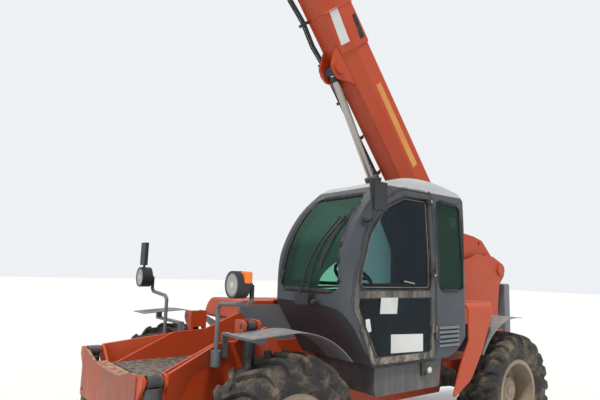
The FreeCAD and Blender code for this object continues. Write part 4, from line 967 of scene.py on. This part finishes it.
def door_labels():
    """Three blank labels on the lower pane."""
    basket = Basket()
    for shape in DOOR_LABELS:
        label(basket, door_skin, 1, [(from_middle(x), z) for x, z in shape])
    basket.made("door_labels", "cab_door", label_white, 30)


def door_clamps():
    """Two clamps at the pane's rear edge, and the pull lever in the middle of the pane."""
    dark, bright = Basket(), Basket()
    for z in (2.400, 1.745):
        place = lifted(door_skin, 1, np.array([(from_middle(-0.030), z)]))[0][0]
        brick(dark, place + 0.012 * Y, (0.034, 0.016, 0.024))
        knob(bright, place, Y, 0.02, 0.042, 0.048, 0.013, 0.008)
    places = np.array([(from_middle(0.225), 1.672), (from_middle(0.350), 1.690)])
    rear, front = lifted(door_skin, 1, places)[0]
    tube(bright, [rear, rear + 0.035 * Y, front + 0.035 * Y, front], bend=0.012, radius=0.008)
    dark.made("door_clamps", "cab_door", black_plastic, 30, 0.003)
    bright.made("door_lever", "cab_door", chrome, 30)


def door_latch():
    """The catch under the door, on the locker's face: a dark plate with its bolt, and a pale round tag."""
    dark, pale = Basket(), Basket()
    brick(dark, (from_middle(0.066), 1.128, 0.955), (0.026, 0.009, 0.058))
    knob(dark, (from_middle(0.040), 1.128, 0.918), Y, -0.006, 0.018, 0.024, 0.016, 0.010)
    knob(pale, (from_middle(-0.022), 1.124, 0.938), Y, -0.004, 0.008, 0.011, 0.026, 0.020, 24)
    dark.made("door_catch", "chassis", black_plastic, 30, 0.003)
    pale.made("round_tag", "chassis", label_white, 30)


door_seals()
door_labels()
door_clamps()
door_latch()

# %% [markdown]
# ## Wheel nuts and the engine cover
# Wheel nuts stand in a circle round each hub. The engine cover on the far side gets its vent slots, as black
# plates of painted shade, and the catches that such a cover has.

# %% Wheel nuts
NUTS = 10
NUT_CIRCLE = 0.165
NUT_DEPTH = 0.020
NUT_CORNER = 0.036 / math.sqrt(3)
DISC_FACE = 0.945
HUB_DEPTH = 0.110


def wheel_nuts():
    """Ten six-sided nuts on studs round each hub, and the hub's cap.

    Every place is the wheel's middle plus a circle in its own plane, and a nut's corners are as far from its
    middle as its width across flats over the root of 3.
    """
    for corner, middle in WHEELS.items():
        nuts = Basket()
        side = np.sign(middle[1])
        turn = np.arange(NUTS) * 2 * np.pi / NUTS
        places = np.stack([middle[0] + NUT_CIRCLE * np.cos(turn), np.full(NUTS, side * DISC_FACE),
                           middle[2] + NUT_CIRCLE * np.sin(turn)], axis=1)
        for place in places:
            knob(nuts, place, side * Y, -0.001, NUT_DEPTH * 0.8, NUT_DEPTH, NUT_CORNER, NUT_CORNER * 0.82, 6)
            knob(nuts, place, side * Y, 0.010, 0.034, 0.037, 0.011, 0.008, 12)
        centre = (middle[0], side * (DISC_FACE + HUB_DEPTH), middle[2])
        knob(nuts, centre, side * Y, -0.001, 0.006, 0.010, 0.052, 0.044, 32)
        nuts.made("wheel_nuts_" + corner, "wheel_" + corner, rim_cream, 30)


# %% Engine cover's vent slots and catches
SLOT_WIDTH, SLOT_LOW, SLOT_HIGH, SLOT_PITCH = 0.018, 1.06, 1.30, 0.045
CATCHES, CATCH_HEIGHT = (-0.62, 0.34), 1.02


def cover_vents():
    """Upright black plates, painted shade for the dark inside of the vent slots, and two catches on the
    engine cover's outer face.
    """
    cover = triangles("hood")
    vent_shades, catches = Basket(), Basket()
    for x in np.arange(-0.46, 0.22, SLOT_PITCH):
        shape = [(x, SLOT_LOW), (x + SLOT_WIDTH, SLOT_LOW), (x + SLOT_WIDTH, SLOT_HIGH), (x, SLOT_HIGH)]
        # Each slot is a black plate: painted shade for the dark inside of a vent.
        label(vent_shades, cover, 1, shape, way=-1)
    for x in CATCHES:
        place = lifted(cover, 1, np.array([(x, CATCH_HEIGHT)]), -1)[0][0]
        brick(catches, place - 0.008 * Y, (0.030, 0.010, 0.022))
    vent_shades.made("cover_vents", "engine_hood", hose, 30)
    catches.made("cover_catches", "engine_hood", black_plastic, 30, 0.003)


wheel_nuts()
cover_vents()
print("trim made")

# %% [markdown]
# ## The seat
# A padded seat is a crowned closed form: flat where it rests, swollen above, its sides pulled in between the
# corners. One formula makes both the cushion and the back, and a welt runs round each where the covers are
# sewn.

# %% Seat cushions
WELT_IN, WELT_RADIUS = 0.985, 0.005


def padded_form(basket, centre, half, along, across, out):
    """Adds a cushion: a stack of rounded outlines, wide in the middle and narrow towards both faces.

    The outline at a share of the full width is a superellipse, |a| ^ 6 + |b| ^ 6 = 1, drawn in by 4 percent
    in the middle of its sides. The face's height is (1 - share ^ 5) ^ 0.4 above, and flatter, ^ 0.2, below.
    """
    turn = np.linspace(0, 2 * np.pi, 96, endpoint=False)
    rim = np.stack([np.cos(turn), np.sin(turn)], axis=1)
    rim = np.sign(rim) * np.abs(rim) ** (1 / 3) * (1 - 0.04 * np.cos(2 * turn) ** 2)[:, None]
    near_rim = np.sin(np.linspace(0.1, 1.0, 9) * np.pi / 2)
    share = np.concatenate([np.linspace(0.03, 0.88, 16), 0.88 + 0.12 * near_rim])
    above, below = (1 - share ** 5) ** 0.4, -((1 - share ** 5) ** 0.2)
    share = np.concatenate([share, share[-2::-1]])
    height = np.concatenate([below, above[-2::-1]]) * half[2]
    flat = share[:, None, None] * rim[None] * half[:2]
    axes = np.array([along, across, out], float)
    local = np.concatenate([flat, np.broadcast_to(height[:, None, None], flat.shape[:2] + (1,))], 2)
    basket.grid(np.asarray(centre) + local @ axes, round_columns=True)
    welt = np.asarray(centre) + (rim * WELT_IN * half[:2]) @ axes[:2]
    basket.grid(carried(welt, ring(WELT_RADIUS, 8), True, out), round_rows=True, round_columns=True)


def seat():
    """Cushion and back as one piece, in place of the plain solids."""
    basket = Basket()
    padded_form(basket, (from_middle(-0.025), 0.705, 1.461), (0.203, 0.232, 0.059), X, Y, Z)
    lean = np.array([-0.130, 0, 0.9915])
    back = (from_middle(-0.345), 0.705, 1.742)
    padded_form(basket, back, (0.336, 0.213, 0.056), lean, Y, np.cross(Y, lean))
    piece = basket.made("seat_cushions", "chassis", seat_fabric, 60)
    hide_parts("seat_pads")
    corners = np.array(piece.bound_box).round(3)
    print("seat:", len(piece.data.polygons), "faces, from", corners.min(axis=0), "to", corners.max(axis=0))


seat()

# %% [markdown]
# ## The studio and the camera
# A pale floor runs to the horizon under an even pale sky, and one broad soft lamp stands where the sun was:
# high, in front of the machine and to its left. The camera repeats the photograph: eye height, tilted up a
# little and rolled by under two degrees.

# %% Floor and sky
FLOOR_HALF = 60.0


def studio_floor():
    """A large square at height zero. It looks evenly pale and still takes the machine's shadow."""
    mesh = bpy.data.meshes.new("studio_floor")
    corners = [(x * FLOOR_HALF, y * FLOOR_HALF, 0) for x, y in ((-1, -1), (1, -1), (1, 1), (-1, 1))]
    mesh.from_pydata(corners, [], [(0, 1, 2, 3)])
    floor = bpy.data.objects.new("studio_floor", mesh)
    bpy.context.collection.objects.link(floor)
    f = Finish("studio_floor")
    mesh.materials.append(f.finished(Base_Color=(0.74, 0.73, 0.71, 1), Roughness=0.9))


def studio_sky(strength):
    """An even sky that lights the machine. To the camera and through glass it shows a pale colour instead."""
    world = bpy.data.worlds.new("studio_sky")
    world.use_nodes = True
    tree = world.node_tree
    tree.nodes.clear()
    path = tree.nodes.new("ShaderNodeLightPath")
    seen = tree.nodes.new("ShaderNodeMath")
    seen.operation = "MAXIMUM"
    tree.links.new(path.outputs["Is Camera Ray"], seen.inputs[0])
    tree.links.new(path.outputs["Is Transmission Ray"], seen.inputs[1])
    both = tree.nodes.new("ShaderNodeMixShader")
    lamp = tree.nodes.new("ShaderNodeBackground")
    lamp.inputs["Color"].default_value = (0.86, 0.93, 1.0, 1)
    lamp.inputs["Strength"].default_value = strength
    shown = tree.nodes.new("ShaderNodeBackground")
    shown.inputs["Color"].default_value = (0.86, 0.88, 0.90, 1)
    shown.inputs["Strength"].default_value = 1.0
    out = tree.nodes.new("ShaderNodeOutputWorld")
    tree.links.new(seen.outputs[0], both.inputs[0])
    tree.links.new(lamp.outputs[0], both.inputs[1])
    tree.links.new(shown.outputs[0], both.inputs[2])
    tree.links.new(both.outputs[0], out.inputs["Surface"])
    bpy.context.scene.world = world


studio_floor()
studio_sky(strength=0.75)


# %% Sun lamp
def sun_lamp(toward, strength, spread):
    """A sun whose light travels along a direction, soft by its spread in degrees."""
    data = bpy.data.lights.new("sun_lamp", "SUN")
    data.energy = strength
    data.angle = math.radians(spread)
    data.color = (1.0, 0.96, 0.90)
    lamp = bpy.data.objects.new("sun_lamp", data)
    lamp.rotation_euler = Vector(toward).to_track_quat("-Z", "Y").to_euler()
    bpy.context.collection.objects.link(lamp)


sun_lamp(toward=(-0.35, -0.30, -0.90), strength=2.6, spread=9.0)

# %% Camera
CAMERA_PLACE = (MIDDLE_X + 3.5954, 3.9562, 1.7556)
YAW, PITCH, ROLL = (math.radians(a) for a in (232.696, 8.0175, 1.827))
FOCAL_LENGTH = 29.81


def photo_camera():
    """The photographer's camera: yaw and pitch give its view line, roll turns it about that line."""
    ahead = Vector((math.cos(YAW) * math.cos(PITCH), math.sin(YAW) * math.cos(PITCH), math.sin(PITCH)))
    right = Vector((math.sin(YAW), -math.cos(YAW), 0))
    up = right.cross(ahead)
    side = math.cos(ROLL) * right + math.sin(ROLL) * up
    top = -math.sin(ROLL) * right + math.cos(ROLL) * up
    data = bpy.data.cameras.new("photo_camera")
    data.lens = FOCAL_LENGTH
    data.sensor_width = 36.0
    data.clip_end = 300.0
    camera = bpy.data.objects.new("photo_camera", data)
    turn = Matrix((side, top, -ahead)).transposed().to_4x4()
    camera.matrix_world = Matrix.Translation(CAMERA_PLACE) @ turn
    bpy.context.collection.objects.link(camera)
    bpy.context.scene.camera = camera


photo_camera()
bpy.context.scene.view_settings.view_transform = "Standard"
